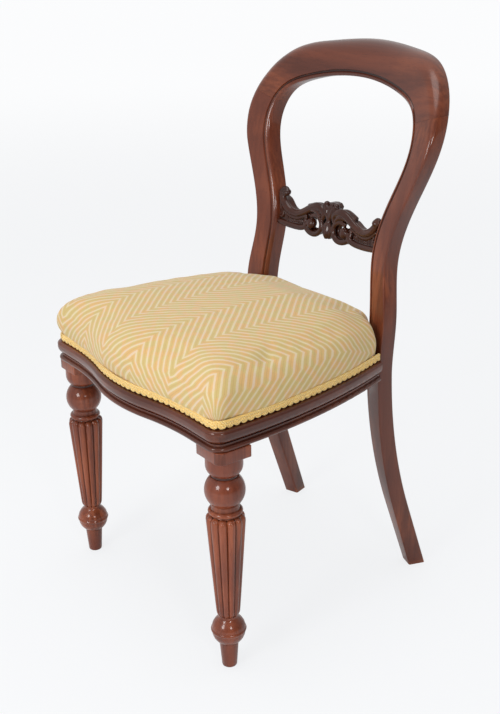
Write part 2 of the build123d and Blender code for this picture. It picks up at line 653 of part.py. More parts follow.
def tacks_in(strap, places, axis, end, z):
    """Tacks near one end of a strap, at places across it; axis is the strap's length, 0 for x or 1 for y."""
    tacks = []
    for place in places:
        low = [-far, -far, 0]
        high = [far, far, far]
        low[1 - axis] = place - slice_half
        high[1 - axis] = place + slice_half
        box = (strap & box_between(low, high)).bounding_box()
        reach = (box.min.X, box.min.Y)[axis] if end < 0 else (box.max.X, box.max.Y)[axis]
        point = [place, place, z]
        point[axis] = reach - end * TACK_INSET
        tacks.append(tack(point, (0, 0, -1)))
    return tacks


# ---- the chair ----

pieces = {}


def both_hands(name, right):
    """Keep a right-hand piece and its mirror image."""
    pieces[name + "_right"] = right
    pieces[name + "_left"] = mirrored(right)


def cut(name, tools):
    """Cut holes or sockets into a piece."""
    for tool in tools:
        pieces[name] = pieces[name] - tool


# frame
frame = balloon_frame()
right_space = right_post_space()
sharp_post = frame & right_space
carved = carved_rail()
whole_post = rounded_member(sharp_post, Vector(1, 0, 0)) + right_sabre_leg()
ring = seat_ring()
mitre = right_mitre()
hollow = slab(RAIL_WIDTH, back_rail_y, RAIL_BOTTOM, rail_top)
right_leg = Pos(leg_x, 0, 0) * front_leg()
side_rail = (ring & mitre) - right_leg - whole_post
back_rail = box_between((-post_outer, back_rail_y, RAIL_BOTTOM), (post_outer, back_rail_rear_y, rail_top))
back_rail = back_rail - whole_post - mirrored(whole_post)

both_hands("front_leg", right_leg)
both_hands("rear_post", whole_post - carved)
pieces["crest_rail"] = rounded_member(frame - right_space - mirrored(right_space), Vector(0, 0, 1))
pieces["carved_back_rail"] = carved
pieces["front_seat_rail"] = ring - mitre - mirrored(mitre) - right_leg - mirrored(right_leg)
both_hands("side_seat_rail", max(side_rail.solids(), key=lambda solid: solid.volume))
pieces["back_seat_rail"] = max(back_rail.solids(), key=lambda solid: solid.volume)

# corner blocks with their screws
front_corner = (leg_x + BLOCK_WIDTH / 2 + SIDE_OVERHANG + OVOLO_PROUD - RAIL_WIDTH,
                RAIL_WIDTH - BLOCK_WIDTH / 2 - FRONT_OVERHANG - OVOLO_PROUD)
rear_corner = (across_hollow(hollow, back_rail_y - 2 * slice_half), back_rail_y)
for place, corner, towards in (("front", front_corner, 1), ("rear", rear_corner, -1)):
    block = corner_block(*corner, towards, hollow) - whole_post
    screws = block_screws(*corner, towards, SCREW_HEAD_HEIGHT)
    holes = block_screws(*corner, towards, CORNER_BLOCK_LEG)
    both_hands(f"corner_block_{place}", block - holes[0] - holes[1])
    both_hands(f"corner_block_screws_{place}", Compound(screws))
    across = "front_seat_rail" if place == "front" else "back_seat_rail"
    cut("side_seat_rail_right", [screws[0]])
    cut("side_seat_rail_left", [mirrored(screws[0])])
    cut(across, [screws[1], mirrored(screws[1])])

# dowels
for name, dowels, hosts in (
        ("crest_dowels", crest_dowels(), ("rear_post", "crest_rail")),
        ("side_rail_dowels", side_rail_dowels(), ("rear_post", "side_seat_rail")),
        ("back_rail_dowel", [back_rail_dowel()], ("rear_post", "back_seat_rail"))):
    both_hands(name, Compound(dowels))
    left_dowels = [mirrored(dowel) for dowel in dowels]
    for host in hosts:
        if host in pieces:
            cut(host, dowels + left_dowels)
        else:
            cut(host + "_right", dowels)
            cut(host + "_left", left_dowels)

# webbing, its tacks and the hessian over it
deck_back_y = cloth_back_y - COVER_THICKNESS - 2 * SOFT_GAP
area = slab(STRAP_INSET, deck_back_y, rail_top, rail_top + 2 * STRAP_THICKNESS)
webbing_tacks = {"front": [], "rear": [], "left": [], "right": []}
for number, x in enumerate(strap_places(STRAP_PITCH_X, 0), 1):
    strap = long_strap(x, area)
    across = [x + step for step in row(TACK_PITCH, TACKS_PER_STRAP)]
    top = rail_top + STRAP_THICKNESS
    front_tacks = tacks_in(strap, across, 1, -1, top)
    rear_tacks = tacks_in(strap, across, 1, 1, top)
    webbing_tacks["front"] += front_tacks
    webbing_tacks["rear"] += rear_tacks
    pieces[f"webbing_long_{number}"] = strap
    cut(f"webbing_long_{number}", front_tacks + rear_tacks)
for number, y in enumerate(strap_places(STRAP_PITCH_Y, back_rail_y / 2 - STRAP_SHIFT), 1):
    strap = cross_strap(y, area, across_hollow(hollow, y - STRAP_WIDTH / 2) + FOLD_SETBACK)
    across = [y + step for step in row(TACK_PITCH, TACKS_PER_STRAP)]
    top = rail_top + 2 * STRAP_THICKNESS
    left_tacks = tacks_in(strap, across, 0, -1, top)
    right_tacks = tacks_in(strap, across, 0, 1, top)
    webbing_tacks["left"] += left_tacks
    webbing_tacks["right"] += right_tacks
    pieces[f"webbing_cross_{number}"] = strap
    cut(f"webbing_cross_{number}", left_tacks + right_tacks)
tacked_rails = {"front": "front_seat_rail", "rear": "back_seat_rail",
                "left": "side_seat_rail_left", "right": "side_seat_rail_right"}
for place, tacks in webbing_tacks.items():
    pieces[f"webbing_tacks_{place}"] = Compound(tacks)
    cut(tacked_rails[place], tacks)
deck_low = rail_top + 2 * STRAP_THICKNESS
deck_high = deck_low + HESSIAN_THICKNESS
deck = clear_of_posts(slab(HESSIAN_INSET, deck_back_y, deck_low, deck_high), sharp_post,
                      POST_GAP + COVER_THICKNESS + SOFT_GAP)
pieces["hessian_deck"] = deck
cut("hessian_deck", webbing_tacks["left"] + webbing_tacks["right"])

# stuffing, cover and braid
inner_gap = COVER_THICKNESS + SOFT_GAP
stuffing = cushion_form(inner_gap, inner_gap, deck_high - rail_top + SOFT_GAP)
pieces["seat_stuffing"] = clear_of_posts(stuffing, sharp_post, POST_GAP + 2 * inner_gap)
lining = clear_of_posts(cushion_form(COVER_THICKNESS, COVER_THICKNESS, 0), sharp_post,
                        POST_GAP + COVER_THICKNESS)
pieces["seat_cover"] = clear_of_posts(cushion_form(0, 0, SOFT_GAP), sharp_post, POST_GAP) - lining
gimp = clear_of_posts(gimp_band(), sharp_post, POST_GAP).solids().sort_by(lambda solid: solid.volume)
pieces["seat_gimp_front_and_sides"] = gimp[-1]
pieces["seat_gimp_back"] = gimp[-2]

# cloth under the frame, with its tacks
dust_low = RAIL_BOTTOM - DUST_COVER_THICKNESS
dust_cover = clear_of_posts(slab(DUST_COVER_INSET, cloth_back_y, dust_low, RAIL_BOTTOM), whole_post, POST_GAP)
half_block = BLOCK_WIDTH / 2 + POST_GAP
block_space = box_between((leg_x - half_block, -far, 0), (far, half_block, RAIL_BOTTOM))
pieces["dust_cover"] = dust_cover - block_space - mirrored(block_space)
front_line = front_corner[1] - DUST_TACK_INSET
back_line = back_rail_y + BACK_RAIL_THICKNESS / 2
dust_tacks = []
for step in row(DUST_TACK_PITCH, DUST_TACK_COUNT):
    y = back_rail_y / 2 + step
    side_x = across_hollow(hollow, y) + DUST_TACK_INSET
    places = {"front_seat_rail": (step, front_line), "back_seat_rail": (step, back_line),
              "side_seat_rail_right": (side_x, y), "side_seat_rail_left": (-side_x, y)}
    for host, place in places.items():
        nail = tack((*place, dust_low), (0, 0, 1))
        cut(host, [nail])
        cut("dust_cover", [nail])
        dust_tacks.append(nail)
pieces["dust_cover_tacks"] = Compound(dust_tacks)

# the origin goes to the floor, under the middle of the chair's outline
outline_box = Compound([solid for piece in pieces.values() for solid in piece.solids()]).bounding_box()
to_middle = Pos(0, -(outline_box.min.Y + outline_box.max.Y) / 2, 0)
for name, piece in pieces.items():
    export_step(to_middle * piece, f"parts/{name}.step")
print("moved along y by", round(-(outline_box.min.Y + outline_box.max.Y) / 2, 2))
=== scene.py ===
from math import asin, atan2, cos, degrees, pi, radians, sin, sqrt

import bmesh
import bpy
import numpy as np
from mathutils import Matrix, Vector


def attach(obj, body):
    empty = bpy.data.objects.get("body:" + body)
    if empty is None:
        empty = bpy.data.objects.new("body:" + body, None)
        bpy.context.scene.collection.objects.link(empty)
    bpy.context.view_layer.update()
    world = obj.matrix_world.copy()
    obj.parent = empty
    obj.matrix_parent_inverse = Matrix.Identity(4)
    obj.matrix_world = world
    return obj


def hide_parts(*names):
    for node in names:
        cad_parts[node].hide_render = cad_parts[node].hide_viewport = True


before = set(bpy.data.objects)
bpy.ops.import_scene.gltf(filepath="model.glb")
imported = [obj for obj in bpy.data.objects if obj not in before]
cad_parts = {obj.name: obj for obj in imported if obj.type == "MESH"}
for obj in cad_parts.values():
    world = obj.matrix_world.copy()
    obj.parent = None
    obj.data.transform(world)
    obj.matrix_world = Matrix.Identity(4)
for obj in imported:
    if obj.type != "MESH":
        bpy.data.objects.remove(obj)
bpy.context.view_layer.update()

# Sizes are in millimetres, measured as on the drawing: x across the chair, y back from the axes of
# the front legs, z up from the floor. place() turns them into the frame's metres.
MIDDLE_Y = 212.78
MM = 0.001
JOINT_GAP = 0.1              # hairline left in the joints

RAIL_BOTTOM = 382.5
RAIL_TOP = 416.5
LEG_X = 218.5

# the back
BACK_FACE_Y = 352.8
BACK_THICKNESS = 29.5
DISH_RADIUS = 900.0
BACK_SWEEP_RADIUS = 1385.0
DISH_REFERENCE = 234.0
SWEEP_Z = 388.7
OUTER_POINTS = [(182.0, 388.7), (185.6, 486.0), (172.8, 572.5), (201.3, 675.0), (232.6, 778.5),
                (214.4, 836.5), (166.2, 877.5), (103.0, 891.3), (0.0, 899.0)]
INNER_POINTS = [(141.5, 388.7), (136.2, 510.0), (128.4, 584.5), (153.5, 675.0), (177.4, 764.5),
                (161.0, 804.0), (115.0, 826.5), (0.0, 841.5)]
JOINT_PLACE = (209.0, 800.5)
JOINT_TILT = 17.0
SMALL_ROUND = 3.2
ARRIS_ROUND = 3.0            # outer front corner of the posts
CREST_ROUND = 19.0           # the same corner on the crest
CREST_ROUND_START = 725.0    # height at which it begins to grow
CREST_ROUND_END = 835.0
BEAD_WIDTH = 11.0            # small moulding worked along the inner edge of the back
BEAD_DEPTH = 7.0
QUIRK_DEPTH = 3.2            # sunk line beside it

# rear legs
LEG_SWEEP_RADIUS = 800.0
LEG_STRAIGHT_HEIGHT = 131.0
FOOT_X = 173.0
FOOT_WIDTH = 28.2
FOOT_DEPTH = 30.5
FOOT_TURN = 18.7
MOULDING_FADE = 40.0         # the bead of the back runs out this far below the seat

# seat plan, at the widest line of the rail's moulding
CORNER_X = 249.5
FRONT_Y = -36.5
CORNER_RADIUS = 26.0
SIDE_RADIUS = 1020.2
BOW_DEPTH = 21.0
BOW_HALF_SPAN = 180.0
BOW_INFLECTION = 75.0
POST_FRONT_Y = 334.2
CLOTH_BACK_Y = 365.1

WHITE = (1.0, 1.0, 1.0, 1.0)


def place(x, y, z):
    """A drawing point in the frame's metres."""
    return Vector((x * MM, (y - MIDDLE_Y) * MM, z * MM))


# ---------------------------------------------------------------- workshop

def clear_bench():
    """Leave edit mode and let go of everything."""
    if bpy.context.object and bpy.context.object.mode != "OBJECT":
        bpy.ops.object.mode_set(mode="OBJECT")
    bpy.ops.object.select_all(action="DESELECT")


def take(*pieces):
    """Select these pieces only; the first is the active one."""
    clear_bench()
    for piece in pieces:
        piece.select_set(True)
    bpy.context.view_layer.objects.active = pieces[0]
    return pieces[0]


def settle():
    """Work the selected pieces' place, turn and scale into their meshes."""
    bpy.ops.object.transform_apply(location=True, rotation=True, scale=True)


def scaled(piece, *shares):
    """Scale a piece about the origin."""
    take(piece)
    bpy.ops.transform.resize(value=shares, center_override=(0, 0, 0))
    settle()
    return piece


def edit(piece):
    """Open a piece in edit mode with all of it selected."""
    take(piece)
    bpy.ops.object.mode_set(mode="EDIT")
    bpy.ops.mesh.select_all(action="SELECT")
    return bmesh.from_edit_mesh(piece.data)


def start(add, **sizes):
    """Add a primitive and open it in edit mode."""
    clear_bench()
    add(**sizes)
    piece = bpy.context.object
    settle()
    return piece, edit(piece)


def pick(shell, kind, wanted):
    """Select only the verts, edges or faces that wanted() accepts."""
    for group in (shell.faces, shell.edges, shell.verts):
        for item in group:
            item.select = False
    for item in getattr(shell, kind):
        if wanted(item):
            item.select_set(True)
    shell.select_flush_mode()


def apply_modifier(piece, kind, **settings):
    take(piece)
    modifier = piece.modifiers.new(kind.title(), kind)
    for name, value in settings.items():
        setattr(modifier, name, value)
    bpy.ops.object.modifier_apply(modifier=modifier.name)


def tidy_mesh(piece, near=0.00001):
    """Merge doubles and turn every face outwards."""
    edit(piece)
    bpy.ops.mesh.remove_doubles(threshold=near)
    bpy.ops.mesh.normals_make_consistent(inside=False)
    clear_bench()


def finish_piece(piece, name, finish, slot, *nodes, angle=30):
    """Name a piece, shade it, give it its finish and put it in place of its CAD nodes."""
    take(piece)
    bpy.ops.object.shade_smooth_by_angle(angle=radians(angle))
    piece.name = name
    piece.data.materials.clear()
    piece.data.materials.append(finish)
    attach(piece, "root")
    if nodes:
        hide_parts(*nodes)
    return piece


def joined(first, *others):
    take(first, *others)
    bpy.ops.object.join()
    return bpy.context.object


def mirrored_copy(piece):
    """The other hand of a piece."""
    take(piece)
    bpy.ops.object.duplicate()
    other = scaled(bpy.context.object, -1, 1, 1)
    tidy_mesh(other)
    return other


def drawn_out(rings):
    """A shell drawn out ring by ring from a circle, with closed ends."""
    piece, shell = start(bpy.ops.mesh.primitive_circle_add, vertices=len(rings[0]), fill_type="NGON")
    shell.verts.ensure_lookup_table()
    row = list(shell.verts)
    for vertex, point in zip(row, rings[0]):
        vertex.co = point
    for ring in rings[1:]:
        rim = [edge for edge in shell.edges if edge.verts[0] in row and edge.verts[1] in row]
        made = bmesh.ops.extrude_edge_only(shell, edges=rim)
        fresh = {tuple(v.co): v for v in made["geom"] if isinstance(v, bmesh.types.BMVert)}
        row = [fresh[tuple(vertex.co)] for vertex in row]
        for vertex, point in zip(row, ring):
            vertex.co = point
    shell.faces.new(row)
    bmesh.update_edit_mesh(piece.data)
    tidy_mesh(piece)
    return piece


def tube(knots, thickness, steps, roundness):
    """A smooth curve through (x, y, z, share of the thickness) knots, as a round tube with closed ends."""
    clear_bench()
    bpy.ops.curve.primitive_nurbs_path_add()
    path = bpy.context.object
    curve = path.data
    curve.splines.clear()
    line = curve.splines.new("NURBS")
    line.points.add(len(knots) - 1)
    for point, (x, y, z, share) in zip(line.points, knots):
        point.co = (x, y, z, 1)
        point.radius = share
    line.order_u = 3
    line.use_endpoint_u = True
    curve.resolution_u = steps
    curve.bevel_depth = thickness
    curve.bevel_resolution = roundness
    curve.use_fill_caps = True
    path.location = (0, 0, 0)
    path.rotation_euler = (0, 0, 0)
    return path


def cad_copy(node):
    """A merged copy of a CAD node's mesh."""
    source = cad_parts[node]
    piece = bpy.data.objects.new(node + "_copy", source.data.copy())
    bpy.context.scene.collection.objects.link(piece)
    take(piece)
    bpy.ops.mesh.customdata_custom_splitnormals_clear()
    tidy_mesh(piece)
    return piece


# ---------------------------------------------------------------- finishes

class Level:
    """A number that varies over a surface and can be used in sums."""

    def __init__(self, finish, socket):
        self.finish = finish
        self.socket = socket

    def sum(self, operation, first, second):
        return self.finish.node("ShaderNodeMath", {"operation": operation}, {0: first, 1: second})

    def __add__(self, other):
        return self.sum("ADD", self, other)

    __radd__ = __add__

    def __mul__(self, other):
        return self.sum("MULTIPLY", self, other)

    __rmul__ = __mul__

    def __sub__(self, other):
        return self.sum("SUBTRACT", self, other)

    def __rsub__(self, other):
        return self.sum("SUBTRACT", other, self)

    def __truediv__(self, other):
        return self.sum("DIVIDE", self, other)

    def fold(self, span):
        """Distance to the nearest multiple of twice the span."""
        return self.sum("PINGPONG", self, span)

    def wave(self, length):
        """From 0 to 1 and back over each length."""
        return self.fold(length / 2) / (length / 2)

    def step(self, low, high):
        """0 below low, 1 above high, smooth between."""
        settings = {"interpolation_type": "SMOOTHSTEP"}
        return self.finish.node("ShaderNodeMapRange", settings, {"Value": self, "From Min": low, "From Max": high})


class Finish:
    """A material and the nodes that make it."""

    def __init__(self, name, **constants):
        self.material = bpy.data.materials.new(name)
        self.material.use_nodes = True
        self.tree = self.material.node_tree
        self.surface = self.tree.nodes["Principled BSDF"]
        for key, value in constants.items():
            self.surface.inputs[key.replace("_", " ")].default_value = value

    def feed(self, socket, value):
        if isinstance(value, Level):
            self.tree.links.new(value.socket, socket)
        else:
            socket.default_value = value

    def node(self, kind, settings=None, inputs=None, output=0):
        node = self.tree.nodes.new(kind)
        for key, value in (settings or {}).items():
            setattr(node, key, value)
        for key, value in (inputs or {}).items():
            self.feed(node.inputs[key], value)
        return Level(self, node.outputs[output])

    def coordinates(self, source="Object", scale=(1, 1, 1)):
        start = self.node("ShaderNodeTexCoord", output=source)
        return self.node("ShaderNodeMapping", {}, {"Vector": start, "Scale": scale})

    def noise(self, where, scale, detail=3.0, roughness=0.5):
        return self.node("ShaderNodeTexNoise", {}, {
            "Vector": where, "Scale": scale, "Detail": detail, "Roughness": roughness})

    def mix(self, share, first, second):
        """A colour between two colours."""
        return self.node("ShaderNodeMix", {"data_type": "RGBA"}, {0: share, 6: first, 7: second}, output=2)

    def deepen(self, share, first, second):
        """The first colour multiplied by the second, by a share."""
        settings = {"data_type": "RGBA", "blend_type": "MULTIPLY"}
        return self.node("ShaderNodeMix", settings, {0: share, 6: first, 7: second}, output=2)

    def paint(self, colour=None, roughness=None, height=None, depth=0.0002):
        if colour is not None:
            self.feed(self.surface.inputs["Base Color"], colour)
        if roughness is not None:
            self.feed(self.surface.inputs["Roughness"], roughness)
        if height is not None:
            bump = self.node("ShaderNodeBump", {}, {"Height": height, "Distance": depth, "Strength": 1.0})
            self.feed(self.surface.inputs["Normal"], bump)
        return self.material


DARK_MAHOGANY = (0.074, 0.0165, 0.0085)
MAHOGANY = (0.140, 0.0325, 0.0140)
LIGHT_MAHOGANY = (0.250, 0.0650, 0.0240)
# Pale orange laid on convex arrises: worn polish and a painted highlight line.
WORN_AND_HIGHLIT_MAHOGANY = (0.40, 0.125, 0.045, 1)
PALE_EDGES_TOP = 0.74        # no pale edges above this height, where the joints of the crest are; the paleness is worn polish and a painted highlight


def toned(colour, lightness):
    return tuple(channel * lightness for channel in colour) + (1,)


def mahogany(name, along="z", lightness=1.0, recess_stain_and_shade=0.0, edges=0.0, seed=0.0, coat=0.6, softness=0.1):
    """French polished mahogany with its grain along one axis, darker in hollows with painted shade (and some stain),
    and paler on convex edges with a painted highlight (and some worn polish).
    """
    finish = Finish(name, Coat_Weight=coat, Coat_Roughness=softness, Coat_IOR=1.5, IOR=1.4, Specular_IOR_Level=0.2)
    stretch = tuple(0.05 if axis == along else 1.0 for axis in "xyz")
    grain = finish.coordinates(scale=stretch)
    streaks = finish.noise(grain, 130.0 + seed, 5.0, 0.6)
    bands = finish.noise(grain, 24.0 + seed, 2.5, 0.5)
    clouds = finish.noise(finish.coordinates(), 6.0 + seed, 2.0, 0.5)
    pores = finish.noise(grain, 900.0, 1.0, 0.5)
    dark, middle, light = (toned(colour, lightness) for colour in (DARK_MAHOGANY, MAHOGANY, LIGHT_MAHOGANY))
    colour = finish.mix(bands.step(0.25, 0.7), dark, middle)
    colour = finish.mix(clouds.step(0.42, 0.7) * (0.2 + 0.5 * streaks.step(0.35, 0.65)), colour, light)
    colour = finish.deepen(streaks.step(0.6, 0.38) * 0.25, colour, (0.5, 0.42, 0.4, 1))
    colour = finish.deepen(pores.step(0.62, 0.72) * 0.35, colour, (0.3, 0.25, 0.25, 1))
    edge = finish.node("ShaderNodeNewGeometry", output="Pointiness")
    # Painted shade: the colour is darkened where the surface is concave, in the hollows of mouldings and carving,
    # with some stain gathered there too.
    colour = finish.deepen(edge.step(0.5, 0.43) * recess_stain_and_shade, colour, (0.12, 0.08, 0.08, 1))
    parts = finish.node("ShaderNodeSeparateXYZ", {}, {0: finish.coordinates()}).socket.node
    height = Level(finish, parts.outputs["Z"])
    # Painted highlight along convex arrises, with worn polish: paler where the surface is sharply convex, but not up
    # at the crest's joints.
    wear_and_highlight = edge.step(0.53, 0.6) * height.step(PALE_EDGES_TOP + 0.04, PALE_EDGES_TOP)
    colour = finish.mix(wear_and_highlight * edges, colour, WORN_AND_HIGHLIT_MAHOGANY)
    gloss = 0.28 + 0.12 * streaks
    return finish.paint(colour, gloss, streaks * 0.7 + pores * 0.3, 0.00004)


CHEVRON_HALF_WIDTH = 0.0855
CHEVRON_CREST = 0.130        # how far right of the middle a crest of the zigzag lies
STRIPE_PITCH = 0.0143
THREAD_PITCH = 0.0011


def herringbone():
    """Zigzag striped seat cloth, laid out on the piece's own flat pattern, in metres."""
    finish = Finish("herringbone_cloth", Sheen_Weight=0.2, Sheen_Roughness=0.5, Specular_IOR_Level=0.2)
    flat = finish.node("ShaderNodeTexCoord", output="UV")
    split = finish.node("ShaderNodeSeparateXYZ", {}, {0: flat}).socket.node
    across, along = (Level(finish, split.outputs[i]) for i in range(2))
    drift = finish.noise(flat, 26.0, 2.0, 0.5)
    tint = finish.noise(flat, 61.0, 2.0, 0.5)
    fuzz = finish.noise(flat, 480.0, 2.0, 0.6)
    zigzag = (across - CHEVRON_CREST + 40 * CHEVRON_HALF_WIDTH).fold(CHEVRON_HALF_WIDTH)
    run = along - zigzag + 0.003 * (drift - 0.5) + 0.0012 * (fuzz - 0.5) + 20 * STRIPE_PITCH
    stripe = run.wave(STRIPE_PITCH)
    cream = finish.mix(tint.step(0.42, 0.6), (0.68, 0.58, 0.37, 1), (0.70, 0.54, 0.38, 1))
    gold = finish.mix(tint.step(0.4, 0.62), (0.59, 0.46, 0.19, 1), (0.68, 0.43, 0.18, 1))
    gold = finish.mix(stripe.step(0.22, 0.02) * 0.5, gold, (0.54, 0.35, 0.13, 1))
    colour = finish.mix(stripe.step(0.55, 0.78), gold, cream)
    weave = across.wave(THREAD_PITCH) * along.wave(THREAD_PITCH)
    colour = finish.deepen((1 - weave) * 0.2 + fuzz.step(0.5, 0.3) * 0.15, colour, (0.74, 0.66, 0.52, 1))
    return finish.paint(colour, 0.8 + 0.1 * fuzz, weave * 0.4 + stripe.step(0.4, 0.7) * 0.5 + fuzz * 0.5, 0.0002)


def thread_finish(name, colour, shade, pitch, depth=0.0003):
    """Plain woven or corded thread."""
    finish = Finish(name, Sheen_Weight=0.2)
    where = finish.coordinates()
    split = finish.node("ShaderNodeSeparateXYZ", {}, {0: where}).socket.node
    axes = [Level(finish, split.outputs[i]) for i in range(3)]
    fuzz = finish.noise(where, 600.0, 2.0, 0.6)
    weave = (axes[0] + axes[2] * 0.7).wave(pitch) * (axes[1] + axes[2] * 0.7).wave(pitch)
    tone = weave.step(0.05, 0.5) * (0.6 + 0.4 * fuzz)
    return finish.paint(finish.mix(tone, shade, colour), 0.75 + 0.15 * fuzz, weave + 0.5 * fuzz, depth)


def metal(name, colour, roughness):
    finish = Finish(name, Metallic=1.0)
    wear = finish.noise(finish.coordinates(), 300.0, 3.0, 0.6)
    shade = finish.mix(wear.step(0.35, 0.65), toned(colour, 0.7), toned(colour, 1.0))
    return finish.paint(shade, roughness + 0.15 * wear)


def beech(name):
    finish = Finish(name, Coat_Weight=0.05)
    grain = finish.coordinates(scale=(0.08, 1, 1))
    streaks = finish.noise(grain, 160.0, 5.0, 0.6)
    flecks = finish.noise(finish.coordinates(scale=(0.2, 1, 1)), 700.0, 1.0, 0.5)
    colour = finish.mix(streaks.step(0.3, 0.7), (0.36, 0.21, 0.11, 1), (0.52, 0.34, 0.19, 1))
    colour = finish.deepen(flecks.step(0.62, 0.7) * 0.5, colour, (0.6, 0.45, 0.35, 1))
    return finish.paint(colour, 0.55 + 0.1 * streaks, streaks, 0.0001)


# Painted shade darkens the hollows of these mahoganies, along with the stain there; the uprights also get a painted
# highlight along their arrises, along with worn polish.
upright_mahogany = mahogany("mahogany_upright", lightness=1.08, recess_stain_and_shade=0.85, edges=0.75)
cross_mahogany = mahogany("mahogany_across", along="x", lightness=0.75, seed=3.0)
deep_mahogany = mahogany("mahogany_front_to_back", along="y", lightness=0.75, seed=5.0)
crest_mahogany = mahogany("mahogany_crest", along="x", lightness=0.95, recess_stain_and_shade=0.85, seed=1.0, softness=0.2)
turned_mahogany = mahogany("mahogany_turned", lightness=1.45, recess_stain_and_shade=0.85, seed=2.0)
carved_mahogany = mahogany("mahogany_carved", along="x", lightness=0.34, recess_stain_and_shade=0.95, seed=4.0, coat=0.5)
seat_cloth = herringbone()
gold_braid = thread_finish("gold_braid", (0.98, 0.76, 0.33, 1), (0.84, 0.54, 0.16, 1), 0.0036, depth=0.0012)
jute = thread_finish("jute_webbing", (0.45, 0.30, 0.16, 1), (0.20, 0.12, 0.06, 1), 0.003)
hessian_weave = thread_finish("hessian", (0.42, 0.30, 0.18, 1), (0.16, 0.10, 0.05, 1), 0.0018)
cambric = thread_finish("black_cambric", (0.022, 0.022, 0.024, 1), (0.008, 0.008, 0.009, 1), 0.0012, depth=0.0001)
bare_beech = beech("beech")
bright_steel = metal("steel", (0.56, 0.56, 0.58), 0.28)
blued_steel = metal("blued_steel", (0.06, 0.07, 0.10), 0.38)


# ---------------------------------------------------------------- the back

def dish_y(x, behind=0.0):
    """Depth of the back's front face at the foot of its sweep, or of a layer behind it."""
    return BACK_FACE_Y - DISH_RADIUS + sqrt((DISH_RADIUS + behind) ** 2 - x * x)


SWEEP_AXIS_Y = dish_y(DISH_REFERENCE) + BACK_SWEEP_RADIUS


def board(x, z, behind=0.0):
    """A point behind the place (x, z) of the back's front face."""
    radius = SWEEP_AXIS_Y - dish_y(x, behind)
    return place(x, SWEEP_AXIS_Y - sqrt(radius ** 2 - max(z - SWEEP_Z, 0.0) ** 2), z)


def smooth_line(points, first, last, count):
    """Evenly spaced places on a smooth line through points, with set directions at its ends."""
    knots = np.array(points, float)
    gaps = np.linalg.norm(np.diff(knots, axis=0), axis=1)
    size = len(knots)
    system = np.eye(size)
    slopes = np.zeros((size, 2))
    slopes[0], slopes[-1] = first, last
    for i in range(1, size - 1):
        before, after = gaps[i - 1], gaps[i]
        system[i, i - 1:i + 2] = 1 / before, 2 / before + 2 / after, 1 / after
        slopes[i] = 3 * ((knots[i] - knots[i - 1]) / before ** 2 + (knots[i + 1] - knots[i]) / after ** 2)
    slopes = np.linalg.solve(system, slopes)
    fine = []
    for i, gap in enumerate(gaps):
        for t in np.linspace(0, 1, 60, endpoint=i == size - 2):
            fine.append((1 + 2 * t) * (1 - t) ** 2 * knots[i] + t * (1 - t) ** 2 * gap * slopes[i]
                        + t * t * (3 - 2 * t) * knots[i + 1] - t * t * (1 - t) * gap * slopes[i + 1])
    fine = np.array(fine)
    runs = np.concatenate([[0], np.cumsum(np.linalg.norm(np.diff(fine, axis=0), axis=1))])
    places = np.linspace(0, runs[-1], count)
    return np.stack([np.interp(places, runs, fine[:, axis]) for axis in (0, 1)], axis=1)


def member_pairs(count):
    """Matching places on the right half's outer and inner outlines, from the seat to the crest's middle."""
    outer = smooth_line(OUTER_POINTS, (0, 1), (-1, 0), count)
    inner = smooth_line(INNER_POINTS, (0, 1), (-1, 0), 8 * count)
    nearest = np.array([np.argmin(np.linalg.norm(inner - point, axis=1)) for point in outer], float)
    nearest[0], nearest[-1] = 0, len(inner) - 1
    nearest = np.maximum.accumulate(nearest)
    spread = np.linspace(0, len(inner) - 1, count)
    for _ in range(6):
        nearest[1:-1] = (nearest[:-2] + 2 * nearest[1:-1] + nearest[2:]) / 4
    nearest = 0.94 * nearest + 0.06 * spread
    inner = np.stack([np.interp(nearest, range(len(inner)), inner[:, axis]) for axis in (0, 1)], axis=1)
    return list(zip(outer, inner))


def corner_arc(corner, inward, radius, first, steps=5):
    """A quarter round in a section, from a corner and the directions inwards."""
    centre = (corner[0] + inward[0] * radius, corner[1] + inward[1] * radius)
    angles = [radians(first + 90 * i / steps) for i in range(steps + 1)]
    return [(centre[0] + radius * cos(a), centre[1] + radius * sin(a)) for a in angles]


def moulded_section(width, depth, outer_round, moulded=1.0):
    """The back's section as (across, behind) places in millimetres, across from the outer side.

    The outer front corner is rounded, the inner front one has a sunk line and a bead when moulded is 1.
    """
    inner = width - BEAD_WIDTH
    bead = [(inner, 0), (inner + 1.0, 0.8), (inner + 3.0, 1.0), (inner + 4.4, 0.8), (inner + 5.2, 0.4),
            (inner + 6.6, 0.45), (inner + 8.4, 0.7), (inner + 9.9, 0.62), (width, 1.0)]
    depths = (0, QUIRK_DEPTH, QUIRK_DEPTH, QUIRK_DEPTH, 1.1, 1.0, 2.6, 4.4, BEAD_DEPTH)
    shaped = [(across, share * deep) for (across, share), deep in zip(bead, depths)]
    plain = [(inner + BEAD_WIDTH * i / 6, 0) for i in range(4)] + corner_arc((width, 0), (-1, 1), SMALL_ROUND, 270, 4)
    inner_front = [((1 - moulded) * p[0] + moulded * s[0], (1 - moulded) * p[1] + moulded * s[1])
                   for p, s in zip(plain, shaped)]
    return (corner_arc((0, 0), (1, 1), outer_round, 180) + inner_front
            + corner_arc((width, depth), (-1, -1), SMALL_ROUND, 0)
            + corner_arc((0, depth), (1, -1), SMALL_ROUND, 90))


def front_round(z):
    """Radius of the outer front corner at a height."""
    share = min(max((z - CREST_ROUND_START) / (CREST_ROUND_END - CREST_ROUND_START), 0), 1)
    return ARRIS_ROUND + (CREST_ROUND - ARRIS_ROUND) * share


def member_ring(outer, inner):
    """The frame member's section between two matching places of the outlines."""
    width = float(np.linalg.norm(inner - outer))
    ring = []
    for across, behind in moulded_section(width, BACK_THICKNESS, front_round(outer[1])):
        x, z = outer + (inner - outer) * (across / width)
        ring.append(board(x, z, behind))
    return ring


